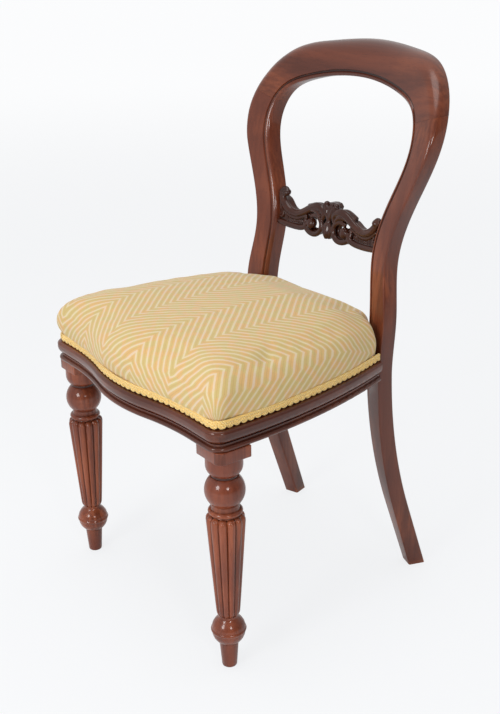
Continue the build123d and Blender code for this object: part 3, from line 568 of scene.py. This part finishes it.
def sabre_ring(height):
    """The rear leg's section at a height below the seat."""
    drop = SWEEP_Z - height
    bend = SWEEP_Z - LEG_STRAIGHT_HEIGHT
    curved = min(drop, bend)
    back = LEG_SWEEP_RADIUS - sqrt(LEG_SWEEP_RADIUS ** 2 - curved ** 2)
    back += max(drop - bend, 0) * bend / sqrt(LEG_SWEEP_RADIUS ** 2 - bend ** 2)
    share = drop / SWEEP_Z
    (outer_x, _), (inner_x, _) = OUTER_POINTS[0], INNER_POINTS[0]
    turn = radians(FOOT_TURN)
    width = outer_x - inner_x
    foot = Vector((FOOT_X, (dish_y(outer_x) + dish_y(inner_x)) / 2 + BACK_THICKNESS / 2))
    ring = []
    moulded = max(1 - drop / MOULDING_FADE, 0)
    for across, behind in moulded_section(width, BACK_THICKNESS, ARRIS_ROUND, moulded):
        top = board(outer_x - across, SWEEP_Z, behind)
        right = FOOT_WIDTH * (0.5 - across / width)
        deep = FOOT_DEPTH * (behind / BACK_THICKNESS - 0.5)
        low = place(foot.x + right * cos(turn) + deep * sin(turn), foot.y - right * sin(turn) + deep * cos(turn), 0)
        point = top.lerp(low, share)
        ring.append(Vector((point.x, point.y + back * MM, height * MM)))
    return ring


def trim(piece, at, normal):
    """Saw off what lies beyond a plane and close the cut."""
    edit(piece)
    bpy.ops.mesh.bisect(plane_co=at, plane_no=normal, use_fill=True, clear_outer=True)
    clear_bench()


def build_back():
    """Both rear posts with their legs, and the crest rail."""
    pairs = member_pairs(72)
    tilt = radians(JOINT_TILT)
    joint = place(JOINT_PLACE[0], 0, JOINT_PLACE[1])
    joint_up = Vector((-sin(tilt), 0, cos(tilt)))
    gap = joint_up * JOINT_GAP * MM
    leg = [sabre_ring(SWEEP_Z * i / 26) for i in range(26)]
    beyond = next(i for i, (outer, _) in enumerate(pairs) if outer[1] > JOINT_PLACE[1] + 45)
    post = drawn_out(leg + [member_ring(*pair) for pair in pairs[:beyond]])
    trim(post, joint - gap, joint_up)
    other = mirrored_copy(post)
    before = next(i for i, (outer, _) in enumerate(pairs) if outer[1] > JOINT_PLACE[1] - 45)
    half = [member_ring(*pair) for pair in pairs[before:]]
    flipped = [[Vector((-point.x, point.y, point.z)) for point in ring] for ring in reversed(half[:-1])]
    crest = drawn_out(half + flipped)
    trim(crest, joint + gap, -joint_up)
    left = Vector((-joint.x, joint.y, joint.z)) + Vector((0, 0, gap.z))
    trim(crest, left, Vector((-sin(tilt), 0, -cos(tilt))))
    finish_piece(post, "right_rear_post", upright_mahogany, "polished_mahogany", "rear_post_right", angle=40)
    finish_piece(other, "left_rear_post", upright_mahogany, "polished_mahogany", "rear_post_left", angle=40)
    finish_piece(crest, "crest", crest_mahogany, "polished_mahogany", "crest_rail", angle=40)


# ---------------------------------------------------------------- carved rail

CARVED_SETBACK = 8.0
CARVED_THICKNESS = 16.0


def strand(points, flatness=0.8):
    """A tapering rounded moulding through (x, z, lift, radius) points, modelled flat."""
    path = tube([(x, -lift / flatness, z, radius) for x, z, lift, radius in points], 1.0, 8, 3)
    path.scale = (1, flatness, 1)
    take(path)
    bpy.ops.object.convert(target="MESH")
    settle()
    return path


def boss(x, z, lift, radius, deep):
    """A round knob modelled flat."""
    clear_bench()
    bpy.ops.mesh.primitive_uv_sphere_add(segments=24, ring_count=14, radius=radius, location=(x, -lift, z))
    bpy.ops.transform.resize(value=(1, deep / radius, 1))
    settle()
    return bpy.context.object


def plate(outline, low, high):
    """A flat plate with a given outline, from lift low to lift high."""
    piece, shell = start(bpy.ops.mesh.primitive_circle_add, vertices=len(outline), fill_type="NGON")
    for vertex, (x, z) in zip(shell.verts, outline):
        vertex.co = (x, -low, z)
    bmesh.update_edit_mesh(piece.data)
    bpy.ops.mesh.extrude_region_move(TRANSFORM_OT_translate={"value": (0, low - high, 0)})
    tidy_mesh(piece)
    return piece


LEFT_CURL = [(119, 631, 1, 3.4), (112.5, 636, 1, 5), (117, 642, 0, 5.6), (126, 640, -1, 6.2)]
RIGHT_CURL = [(125, 623, 1, 3), (120.5, 627, 1, 4.2), (123, 632, 0, 4.8), (129, 631, -1, 5.6)]


def carved_arm(curl):
    """The right arm, flat, with its scroll, leaf and volute and the given curl beside the post."""
    panel = smooth_line([(137, 582), (118, 579), (100, 577.5), (78, 577.5), (62, 579.5), (50, 584),
                         (50, 600), (56, 616), (70, 612), (88, 607), (102, 611), (113, 622), (137, 630)],
                        (-1, 0), (1, 0), 60)
    parts = [
        plate([tuple(point) for point in panel], -CARVED_THICKNESS, -3.4),
        # top moulding: curl beside the post, hollow, then up to the leaf and round its tip
        strand(curl + [(125, 627, -1, 7), (117, 616, -1, 7.2), (104, 606.5, -1, 6.8), (88, 603.5, -1, 6.2),
                       (72, 608, 0, 6.2), (56, 616.5, 1, 7.0), (41, 624, 2, 7.6), (28, 626.5, 3, 7.4),
                       (16, 622, 3, 6.4), (12, 613, 2.5, 5.2), (16, 605, 2, 3.4)]),
        boss(curl[1][0] + 1, curl[1][1] + 0.5, 0.5, 6.2, 6.5),
        # lower fillet line of that moulding
        strand([(124, 612, -2.2, 2.4), (114, 603, -1.8, 2.6), (102, 597, -1.2, 2.6), (86, 595.5, -1.2, 2.5),
                (70, 599.5, -0.8, 2.6), (58, 606, 0, 3)]),
        # bottom moulding, and the scroll of the volute
        strand([(137, 585.5, -2, 4), (118, 583, -1.2, 4.8), (100, 581.5, -0.6, 5), (80, 581, 0, 5),
                (64, 583, 1, 5), (55, 588, 1.5, 4.6), (52, 596, 1, 3.6)]),
        strand([(58, 603, 0, 3), (61, 595, 0.5, 3.8), (58, 585, 1, 4.6), (47, 579.5, 2, 5.2),
                (33, 577.5, 2.5, 5.4), (21, 582, 3, 5.2), (15, 592, 3, 5), (17, 603, 3, 4.8),
                (26, 610, 3, 4.6), (37, 611, 2.5, 4.2), (46, 606.5, 2, 3.6)]),
        strand([(57, 584, -7.5, 6.5), (42, 579, -7.5, 6.5), (27, 582, -7.5, 6.5), (17, 592, -7.5, 6.5),
                (20, 605, -7.5, 6.5), (34, 614, -7.5, 6.5), (50, 613, -7.5, 6.5)]),
        boss(43.5, 594.5, 0.5, 9.6, 8.5),
        strand([(38, 600, 5.5, 2), (45, 602, 6, 2.2), (50, 596, 6, 2.2), (46, 589.5, 6, 2),
                (40, 592, 6.5, 1.8)]),
        strand([(53, 602, -6, 6), (51, 592, -8, 6), (47, 586, -8, 6)]),
        # leaf lobes over the volute
        strand([(50, 617, 2, 3.6), (36, 620, 5, 4.2), (25, 617, 5.5, 3.8), (20.5, 610, 5, 3)]),
        strand([(62, 618, -6, 6.5), (42, 624, -7, 7), (26, 624, -7, 7), (12, 618, -7, 7)]),
        # hook and reeds of the sunk panel
        strand([(121, 603, -2, 2), (117, 597, -1.6, 2.6), (122, 592, -1.6, 2.6), (129, 594, -2, 2.2)])]
    for i in range(9):
        x = 66 + 5.2 * i
        top = 595 if i < 7 else 596 + (i - 6) * 1.5
        parts.append(strand([(x, 587, -2.9, 1.8), (x + 0.4, 591, -2.2, 2.0), (x + 0.8, top, -2.9, 1.8)]))
    return joined(*parts)


def centre_leaf():
    """The upright leaf and drop between the two arms, flat."""
    half = [(0, 637), (9, 636), (15, 631), (12, 622), (7, 612), (8, 602), (11, 592), (9, 582), (5, 576), (0, 574.5)]
    outline = half + [(-x, z) for x, z in reversed(half[1:-1])]
    parts = [plate(outline, -CARVED_THICKNESS, -2)]
    parts.append(strand([(0, 635, -1, 4.5), (0, 626, 1, 5.5), (0, 614, 2, 5), (0, 604, 2, 5), (0, 594, 3, 7.2),
                         (0, 585, 3, 7.8), (0, 578, 1, 5.6)]))
    for hand in (-1, 1):
        parts.append(strand([(hand * 2, 609, 2, 3), (hand * 5.5, 619, 3.5, 4.6), (hand * 9.5, 628, 2.5, 5.6),
                             (hand * 14, 633, 0, 4.8)]))
        parts.append(boss(hand * 13, 632.5, 0, 5.6, 5.5))
        parts.append(strand([(hand * 2, 605, 3, 2.6), (hand * 7.5, 598, 3, 3.8), (hand * 9.5, 588, 2.5, 4.4),
                             (hand * 5, 579, 0.5, 3.6)]))
    return joined(*parts)


def build_carved_rail():
    arm = carved_arm(RIGHT_CURL)
    other = scaled(carved_arm(LEFT_CURL), -1, 1, 1)
    tidy_mesh(other, 0.001)
    rail = joined(arm, other, centre_leaf())
    trim(rail, (0, CARVED_THICKNESS, 0), (0, 1, 0))
    apply_modifier(rail, "REMESH", mode="VOXEL", voxel_size=0.85)
    apply_modifier(rail, "SMOOTH", factor=0.5, iterations=3)
    shell = edit(rail)
    for vertex in shell.verts:
        x, y, z = vertex.co
        vertex.co = board(x, z, y + CARVED_SETBACK)
    bmesh.update_edit_mesh(rail.data)
    clear_bench()
    finish_piece(rail, "carved_rail", carved_mahogany, "polished_mahogany", "carved_back_rail", angle=60)


# ---------------------------------------------------------------- front legs

# profile of the turned parts: (height, radius)
FOOT_PROFILE = [(0.0, 10.3), (0.8, 11.3), (2.5, 11.8), (20.0, 13.2), (42.5, 14.9), (44.2, 15.0)]
COLLAR_PROFILE = [(45.2, 16.6), (48.5, 20.0), (53.0, 23.2), (58.0, 25.2), (63.0, 26.2), (64.6, 26.3), (65.4, 27.2),
                  (67.0, 27.7), (68.6, 27.2), (69.4, 26.3), (71.0, 26.2), (76.0, 24.9), (81.0, 22.0), (85.0, 18.6),
                  (87.6, 16.3), (89.4, 15.4), (91.2, 15.0), (93.0, 15.2)]
SHAFT_PROFILE = [(93.4, 15.6), (94.6, 16.8), (97.0, 17.9), (100.5, 18.7), (104.0, 19.0)]
SHOULDER_PROFILE = [(258.0, 30.3), (261.5, 30.0), (264.2, 29.0), (266.0, 27.4), (267.2, 25.0), (267.6, 22.4)]
BALL_Z = 308.5
BALL_RADIUS = 30.8
NECK_RADIUS = 20.9           # under the ball
CUP_NECK_RADIUS = 19.6       # above it
CUP_RADIUS = 28.2
REEDS = 12
BLOCK_WIDTH = 58.0
BLOCK_HEIGHT = 18.9
BLOCK_TOP = RAIL_BOTTOM - JOINT_GAP
BLOCK_CORNER = 12.0          # round of the block's outer front corner
TENON_RADIUS = 12.0
TENON_TOP = RAIL_BOTTOM + 26.0
REED_SHARE = (0.855, 0.925, 0.97, 0.993, 1.0)    # radii from a valley to a crown


def turned_profile():
    """Heights and radii from the shaft's top to the underside of the block."""
    profile = [(267.8, 21.8), (268.6, 21.4), (270.0, 21.4), (270.4, 23.4), (271.6, 25.3), (273.0, 26.1),
               (274.2, 26.3), (275.6, 26.0), (277.0, 25.0), (278.0, 23.2), (278.4, 21.9), (280.0, 21.3),
               (284.5, NECK_RADIUS)]
    low = -asin(sqrt(BALL_RADIUS ** 2 - NECK_RADIUS ** 2) / BALL_RADIUS)
    for i in range(19):
        angle = low + (-2 * low) * i / 18
        profile.append((BALL_Z + BALL_RADIUS * sin(angle), BALL_RADIUS * cos(angle)))
    top = profile[-1][0]
    profile += [(top + 0.5, CUP_NECK_RADIUS), (top + 3.4, CUP_NECK_RADIUS), (top + 4.2, 21.0), (337.6, 23.6),
                (340.5, 25.6), (344.0, 27.2), (347.5, 28.0), (350.0, CUP_RADIUS),
                (BLOCK_TOP - BLOCK_HEIGHT - JOINT_GAP, CUP_RADIUS)]
    return profile


def front_leg():
    """The right front leg: turned foot and collar, reeded shaft, ball, cup and square block."""
    count = REEDS * 8
    cut = [REED_SHARE[min(i % 8, 8 - i % 8)] for i in range(count)]
    plain = FOOT_PROFILE + COLLAR_PROFILE
    shaft = [(height, radius, 1.0) for height, radius in SHAFT_PROFILE]
    steps = 14
    (low, narrow), (high, wide) = SHAFT_PROFILE[-1], SHOULDER_PROFILE[0]
    shaft += [(low + (high - low) * i / steps, narrow + (wide - narrow) * (i / steps) ** 0.97, 1.0)
              for i in range(1, steps)]
    shaft += [(height, radius, 1.0 + 0.1 * i) for i, (height, radius) in enumerate(SHOULDER_PROFILE[:-1])]
    stations = [(height, radius, 0.0) for height, radius in plain] + shaft
    stations += [(*SHOULDER_PROFILE[-1], 0.3)] + [(height, radius, 0.0) for height, radius in turned_profile()]
    rings = []
    for height, radius, reeded in stations:
        ring = []
        for i in range(count):
            angle = 2 * pi * i / count
            reach = radius * (1 - reeded * (1 - cut[i]))
            ring.append(place(LEG_X + reach * cos(angle), reach * sin(angle), height))
        rings.append(ring)
    leg = drawn_out(rings)
    block, _ = start(bpy.ops.mesh.primitive_cube_add, size=1, location=place(LEG_X, 0, BLOCK_TOP - BLOCK_HEIGHT / 2),
                     scale=(BLOCK_WIDTH * MM, BLOCK_WIDTH * MM, BLOCK_HEIGHT * MM))
    shell = bmesh.from_edit_mesh(block.data)
    pick(shell, "edges", lambda e: all(v.co.x > LEG_X * MM and v.co.y < -MIDDLE_Y * MM for v in e.verts))
    bpy.ops.mesh.bevel(offset=BLOCK_CORNER * MM, segments=10)
    pick(shell, "edges", lambda e: len(e.link_faces) == 2 and e.calc_face_angle(0) > radians(40))
    bpy.ops.mesh.bevel(offset=0.0012, segments=3)
    tenon, _ = start(bpy.ops.mesh.primitive_cylinder_add, vertices=32, radius=TENON_RADIUS * MM,
                     depth=(TENON_TOP - RAIL_BOTTOM + 2 * JOINT_GAP) * MM,
                     location=place(LEG_X, 0, (TENON_TOP + RAIL_BOTTOM - 2 * JOINT_GAP) / 2))
    shell = bmesh.from_edit_mesh(tenon.data)
    pick(shell, "edges", lambda e: all(v.co.z > (RAIL_BOTTOM + 20) * MM for v in e.verts))
    bpy.ops.mesh.bevel(offset=0.0015, segments=2)
    clear_bench()
    return joined(leg, block, tenon)


def build_front_legs():
    right = front_leg()
    left = mirrored_copy(right)
    finish_piece(right, "right_front_leg", turned_mahogany, "polished_mahogany", "front_leg_right", angle=50)
    finish_piece(left, "left_front_leg", turned_mahogany, "polished_mahogany", "front_leg_left", angle=50)


# ---------------------------------------------------------------- seat

def arc(centre, radius, first, last, steps):
    """Places along an arc, angles in degrees."""
    angles = [radians(first + (last - first) * i / steps) for i in range(steps + 1)]
    return [(centre[0] + radius * cos(a), centre[1] + radius * sin(a)) for a in angles]


def seat_line(inset, back_y=POST_FRONT_Y):
    """The seat's plan from the right rear round the front to the left rear, inset from the moulding."""
    side_y = FRONT_Y + CORNER_RADIUS
    half = arc((CORNER_X - SIDE_RADIUS, side_y), SIDE_RADIUS - inset,
               degrees(asin((back_y - side_y) / (SIDE_RADIUS - inset))), 0, 24)
    half += arc((CORNER_X - CORNER_RADIUS, side_y), CORNER_RADIUS - inset, 0, -90, 8)[1:]
    half += [(205.0, FRONT_Y + inset)]
    turn_rise = BOW_DEPTH * (1 - BOW_INFLECTION / BOW_HALF_SPAN)
    run = BOW_HALF_SPAN - BOW_INFLECTION
    hollow_radius = (run ** 2 + turn_rise ** 2) / (2 * turn_rise)
    lean = degrees(asin(run / hollow_radius))
    half += arc((BOW_HALF_SPAN, FRONT_Y - hollow_radius), hollow_radius + inset, 90, 90 + lean, 8)
    crown = BOW_DEPTH - turn_rise
    full_radius = (BOW_INFLECTION ** 2 + crown ** 2) / (2 * crown)
    half += arc((0, FRONT_Y - BOW_DEPTH + full_radius), full_radius - inset, -90 + lean, -90, 8)[1:]
    return half + [(-x, y) for x, y in reversed(half[:-1])]


COVER_GAP = 2.8              # from the stuffing to the outside of its cover
CUSHION_MESH = 5.0           # size of its faces
HELD_HEIGHT = 9.0            # the cloth is nailed down below this height above the rails
PRESSURE = 4.0
LAST_FRAME = 20
MOST_MOVE = 6.0              # how far the stretched cloth may move
UNROLLED_BELOW = 52.0        # height above the rails at which the pattern turns down the sides


def cushion_start():
    """The stuffing's own form, out to the cloth and evenly meshed for it."""
    pad = cad_copy("seat_stuffing")
    apply_modifier(pad, "REMESH", mode="VOXEL", voxel_size=CUSHION_MESH * MM)
    apply_modifier(pad, "SMOOTH", factor=0.5, iterations=4)
    apply_modifier(pad, "DISPLACE", strength=COVER_GAP * MM, mid_level=0.0)
    return pad


def inflate(pad, low, cap):
    """Blow the pad up as stretched cloth held at its lower edge, and cap how far a point moves."""
    take(pad)
    rest = [vertex.co.copy() for vertex in pad.data.vertices]
    held = pad.vertex_groups.new(name="held")
    held.add([v.index for v in pad.data.vertices if v.co.z < low], 1.0, "REPLACE")
    modifier = pad.modifiers.new("Cloth", "CLOTH")
    cloth = modifier.settings
    cloth.use_pressure = True
    cloth.uniform_pressure_force = PRESSURE
    cloth.vertex_group_mass = "held"
    cloth.quality = 6
    cloth.tension_stiffness = 25.0
    cloth.compression_stiffness = 25.0
    cloth.bending_stiffness = 1.0
    cloth.effector_weights.gravity = 0.0
    scene = bpy.context.scene
    for frame_number in range(1, LAST_FRAME + 1):
        scene.frame_set(frame_number)
    bpy.ops.object.modifier_apply(modifier=modifier.name)
    scene.frame_set(1)
    for vertex, before in zip(pad.data.vertices, rest):
        move = vertex.co - before
        if move.length > cap:
            vertex.co = before + move * (cap / move.length)


BULGE = 7.5                  # how far the shoulders of the seat swell beyond the stuffing
SWELL_HEIGHT = 24.0          # over which the swelling grows, above the held edge
POST_CLEARANCE_Y = 300.0     # no swelling behind this line, where the posts stand
FADE = 60.0                  # in front of it the swelling fades over this distance


def swell(pad):
    """Fill out the shoulders of the cushion, from nothing at the braid and beside the posts."""
    for vertex in pad.data.vertices:
        height = vertex.co.z / MM - RAIL_TOP
        rise = min(max((height - HELD_HEIGHT) / SWELL_HEIGHT, 0), 1)
        crown = min(max((vertex.normal.z - 0.9) / 0.1, 0), 1)
        behind = min(max((vertex.co.y / MM + MIDDLE_Y - POST_CLEARANCE_Y + FADE) / FADE, 0), 1)
        swelling = BULGE * MM * rise * (1 - 0.8 * crown) * (1 - behind)
        vertex.co += vertex.normal * swelling
    pad.data.update()


def lay_out(piece, shoulder):
    """Give the cloth its flat pattern: seen from above, and unrolled down the sides."""
    mesh = piece.data
    flat = mesh.uv_layers.new(name="flat_pattern")
    for loop in mesh.loops:
        vertex = mesh.vertices[loop.vertex_index]
        outwards = vertex.normal.xy
        drop = max(shoulder - vertex.co.z, 0.0)
        if outwards.length > 0.05:
            outwards.normalize()
            outwards = Vector((outwards.x * abs(outwards.x), outwards.y * abs(outwards.y)))
        place_on_cloth = vertex.co.xy + Vector((0, MIDDLE_Y * MM)) + outwards * drop
        flat.data[loop.index].uv = place_on_cloth


def build_cushion():
    pad = cushion_start()
    inflate(pad, (RAIL_TOP + HELD_HEIGHT) * MM, MOST_MOVE * MM)
    apply_modifier(pad, "SMOOTH", factor=0.5, iterations=6)
    swell(pad)
    apply_modifier(pad, "SMOOTH", factor=0.5, iterations=8)
    apply_modifier(pad, "SUBSURF", levels=1, render_levels=1)
    lay_out(pad, (RAIL_TOP + UNROLLED_BELOW) * MM)
    finish_piece(pad, "seat_cushion", seat_cloth, "herringbone_cloth", "seat_cover", "seat_stuffing", angle=180)


BRAID_PITCH = 12.6
BRAID_INSET = 7.8
LOBE_HEIGHT = 7.2            # middle of the lobes above the rails
BAND_FOOT = 6.5              # lower edge of the flat band
CORD_HEIGHT = 12.2
CORD_RADIUS = 2.0


def walk(line, count):
    """Evenly spaced (x, y) places along a plan line and the directions there."""
    points = np.array(line, float)
    runs = np.concatenate([[0], np.cumsum(np.linalg.norm(np.diff(points, axis=0), axis=1))])
    steps = np.linspace(0, runs[-1], count)
    places = np.stack([np.interp(steps, runs, points[:, axis]) for axis in (0, 1)], axis=1)
    return places, np.gradient(places, axis=0)


def braid_lobe():
    """One scallop of the braid: a flattened ring of cord with a knot in it, facing the front."""
    clear_bench()
    bpy.ops.mesh.primitive_torus_add(major_segments=18, minor_segments=7, major_radius=0.0042, minor_radius=0.0023,
                                     rotation=(pi / 2, 0, 0))
    ring = bpy.context.object
    settle()
    bpy.ops.mesh.primitive_uv_sphere_add(segments=10, ring_count=6, radius=0.0028, location=(0, -0.0004, 0))
    knot = bpy.context.object
    return scaled(joined(ring, knot), 1.08, 0.72, 1)


def braid_cord(line, height, radius):
    """A cord along the braid's edge."""
    places, _ = walk(line, max(len(line), 40))
    take(tube([(*place(x, y, height), 1) for x, y in places], radius * MM, 4, 2))
    bpy.ops.object.convert(target="MESH")
    return bpy.context.object


def build_braid():
    """The scalloped braid over the edge of the cloth."""
    front = seat_line(BRAID_INSET, POST_FRONT_Y - 2)
    back = [(x, CLOTH_BACK_Y + 1.2) for x in np.linspace(133, -133, 60)]
    model = braid_lobe()
    for name, line, node, facing in (("seat_braid", front, "seat_gimp_front_and_sides", -1),
                                     ("back_braid", back, "seat_gimp_back", 1)):
        length = float(np.sum(np.linalg.norm(np.diff(np.array(line), axis=0), axis=1)))
        places, directions = walk(line, round(length / BRAID_PITCH))
        lobes = []
        for (x, y), (along_x, along_y) in zip(places, directions):
            take(model)
            bpy.ops.object.duplicate()
            lobe = bpy.context.object
            lobe.location = place(x, y, RAIL_TOP + LOBE_HEIGHT)
            lobe.rotation_euler = (0, 0, atan2(facing * along_y, facing * along_x))
            lobes.append(lobe)
        row = joined(*lobes)
        settle()
        band = cad_copy(node)
        trim(band, Vector((0, 0, (RAIL_TOP + BAND_FOOT) * MM)), Vector((0, 0, -1)))
        braid = joined(row, band, braid_cord(line, RAIL_TOP + CORD_HEIGHT, CORD_RADIUS))
        finish_piece(braid, name, gold_braid, "gold_braid", node, angle=60)
    bpy.data.objects.remove(model)


def build_rails():
    """Smooth polished copies of the seat rails."""
    for node, name, finish in (("front_seat_rail", "front_rail", cross_mahogany),
                               ("back_seat_rail", "back_rail", cross_mahogany),
                               ("side_seat_rail_left", "left_side_rail", deep_mahogany),
                               ("side_seat_rail_right", "right_side_rail", deep_mahogany)):
        finish_piece(cad_copy(node), name, finish, "polished_mahogany", node, angle=32)


def cross_cut(piece, pitch):
    """Cut a flat piece across both ways, so that it can sag."""
    shell = edit(piece)
    low = [min(v.co[axis] for v in shell.verts) for axis in (0, 1)]
    high = [max(v.co[axis] for v in shell.verts) for axis in (0, 1)]
    for axis in (0, 1):
        for i in range(1, int((high[axis] - low[axis]) / pitch) + 1):
            at = Vector((0, 0, 0))
            at[axis] = low[axis] + pitch * i
            normal = Vector((0, 0, 0))
            normal[axis] = 1.0
            bpy.ops.mesh.select_all(action="SELECT")
            bpy.ops.mesh.bisect(plane_co=at, plane_no=normal)
    return bmesh.from_edit_mesh(piece.data), low, high


SHEET_PITCH = 0.022          # cuts across the sheets, so that they can sag
DUST_COVER_SAG = 0.004


def build_underside():
    """Straps, hessian and the dust cover; only the dust cover sags a little."""
    for node in [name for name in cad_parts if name.startswith(("webbing_long", "webbing_cross"))]:
        strap = cad_copy(node)
        apply_modifier(strap, "BEVEL", width=0.0004, segments=2)
        finish_piece(strap, node.replace("webbing", "strap"), jute, "jute_webbing", node)
    for node, name, finish, slot, sag in (("hessian_deck", "hessian", hessian_weave, "hessian", 0.0),
                                          ("dust_cover", "bottom_cloth", cambric, "black_cambric", DUST_COVER_SAG)):
        sheet = cad_copy(node)
        shell, low, high = cross_cut(sheet, SHEET_PITCH)
        for vertex in shell.verts:
            shares = [2 * (vertex.co[axis] - low[axis]) / (high[axis] - low[axis]) - 1 for axis in (0, 1)]
            hold = max(1 - shares[0] ** 2, 0) * max(1 - shares[1] ** 2, 0)
            vertex.co.z -= sag * hold * (1 + 0.12 * sin(9 * shares[0]) * cos(7 * shares[1]))
        bmesh.update_edit_mesh(sheet.data)
        clear_bench()
        apply_modifier(sheet, "BEVEL", width=0.0002, segments=1, limit_method="ANGLE", angle_limit=radians(60))
        finish_piece(sheet, name, finish, slot, node)


def dress_fixings():
    """Finishes for the CAD nodes that stay: blocks, dowels, screws and tacks."""
    finishes = {"corner_block": bare_beech, "corner_block_screws": bright_steel, "crest_dowels": bare_beech,
                "side_rail_dowels": bare_beech, "back_rail_dowel": bare_beech,
                "webbing_tacks": blued_steel, "dust_cover_tacks": blued_steel}
    for node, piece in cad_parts.items():
        if not piece.hide_render:
            start_of_name = max((key for key in finishes if node.startswith(key)), key=len)
            piece.data.materials.clear()
            piece.data.materials.append(finishes[start_of_name])


build_back()
build_carved_rail()
build_front_legs()
build_rails()
build_cushion()
build_braid()
build_underside()
dress_fixings()


# ---------------------------------------------------------------- studio

LEFT_ROOM = 0.76             # strength of the surroundings as light, on the chair's left
RIGHT_ROOM = 0.17            # and on its right
CAMERA_PLACE = (1.4072, -1.01568, 1.0752)
CAMERA_TURN = (54.43, 21.40, -1.06)          # azimuth, elevation and roll in degrees
CAMERA_LENS = 55.47
CAMERA_SHIFT = (0.0020, 0.0020)


def build_floor():
    clear_bench()
    bpy.ops.mesh.primitive_plane_add(size=60)
    floor = bpy.context.object
    floor.name = "floor"
    finish = Finish("floor_paper", Roughness=0.9, Specular_IOR_Level=0.1)
    mottle = finish.noise(finish.coordinates(), 2.0, 2.0, 0.5)
    finish.paint(finish.mix(mottle, (0.90, 0.905, 0.915, 1), (0.91, 0.915, 0.925, 1)))
    distance = finish.node("ShaderNodeVectorMath", {"operation": "LENGTH"}, {0: finish.coordinates()}, output=1)
    paper = finish.mix(distance.step(1.5, 7.0), (0.935, 0.945, 0.96, 1), (1.045, 1.05, 1.06, 1))
    white = finish.node("ShaderNodeEmission", {}, {"Color": paper, "Strength": 1.0})
    kinds = ("Camera", "Glossy", "Transmission")
    seen = [finish.node("ShaderNodeLightPath", output=f"Is {kind} Ray") for kind in kinds]
    share = 0.84 * (seen[0] + seen[1] * 0.22 + seen[2])
    surface = Level(finish, finish.surface.outputs[0])
    shown = finish.node("ShaderNodeMixShader", {}, {0: share, 1: surface, 2: white})
    finish.feed(finish.tree.nodes["Material Output"].inputs["Surface"], shown)
    floor.data.materials.append(finish.material)


def build_world():
    """White surroundings, full white where they are seen. Where they light the chair they are dimmer on its right."""
    world = bpy.data.worlds.new("white_room")
    world.use_nodes = True
    bpy.context.scene.world = world
    tree = world.node_tree
    background = tree.nodes["Background"]
    background.inputs["Color"].default_value = WHITE
    rays = tree.nodes.new("ShaderNodeLightPath")
    seen = tree.nodes.new("ShaderNodeMath")
    seen.operation = "MAXIMUM"
    tree.links.new(rays.outputs["Is Camera Ray"], seen.inputs[0])
    tree.links.new(rays.outputs["Is Transmission Ray"], seen.inputs[1])
    facing = tree.nodes.new("ShaderNodeTexCoord")
    split = tree.nodes.new("ShaderNodeSeparateXYZ")
    tree.links.new(facing.outputs["Generated"], split.inputs[0])
    side = tree.nodes.new("ShaderNodeMapRange")
    for key, value in (("From Min", 0.0), ("From Max", 0.9), ("To Min", LEFT_ROOM), ("To Max", RIGHT_ROOM)):
        side.inputs[key].default_value = value
    tree.links.new(split.outputs["X"], side.inputs["Value"])
    strength = tree.nodes.new("ShaderNodeMapRange")
    tree.links.new(side.outputs[0], strength.inputs["To Min"])
    strength.inputs["To Max"].default_value = 1.0
    tree.links.new(seen.outputs[0], strength.inputs["Value"])
    tree.links.new(strength.outputs[0], background.inputs["Strength"])


def lamp(name, azimuth, elevation, distance, width, height, watts):
    """A soft box that faces the seat; azimuth 0 is in front of the chair and 90 to its right."""
    clear_bench()
    target = Vector((0, 0, 0.45))
    a, e = radians(azimuth), radians(elevation)
    away = Vector((sin(a) * cos(e), -cos(a) * cos(e), sin(e)))
    bpy.ops.object.light_add(type="AREA", location=target + away * distance)
    light = bpy.context.object
    light.name = name
    light.data.shape = "ELLIPSE"
    light.data.size = width
    light.data.size_y = height
    light.data.energy = watts
    light.rotation_euler = away.to_track_quat("Z", "Y").to_euler()


def build_camera():
    clear_bench()
    bpy.ops.object.camera_add(location=CAMERA_PLACE)
    camera = bpy.context.object
    azimuth, elevation, roll = (radians(angle) for angle in CAMERA_TURN)
    back = Vector((sin(azimuth) * cos(elevation), -cos(azimuth) * cos(elevation), sin(elevation)))
    right = Vector((0, 0, 1)).cross(back).normalized()
    up = back.cross(right)
    turned_right = right * cos(roll) + up * sin(roll)
    turned_up = up * cos(roll) - right * sin(roll)
    camera.rotation_euler = Matrix((turned_right, turned_up, back)).transposed().to_euler()
    camera.data.lens = CAMERA_LENS
    camera.data.shift_x, camera.data.shift_y = CAMERA_SHIFT
    bpy.context.scene.camera = camera


bpy.context.scene.view_settings.view_transform = "Standard"
build_floor()
build_world()
lamp("left_soft_box", 15, 21, 2.6, 0.8, 0.9, 23)
lamp("right_soft_box", 71, 20, 2.6, 0.5, 0.55, 12)
lamp("top_soft_box", 10, 82, 2.6, 1.8, 1.8, 22)
build_camera()
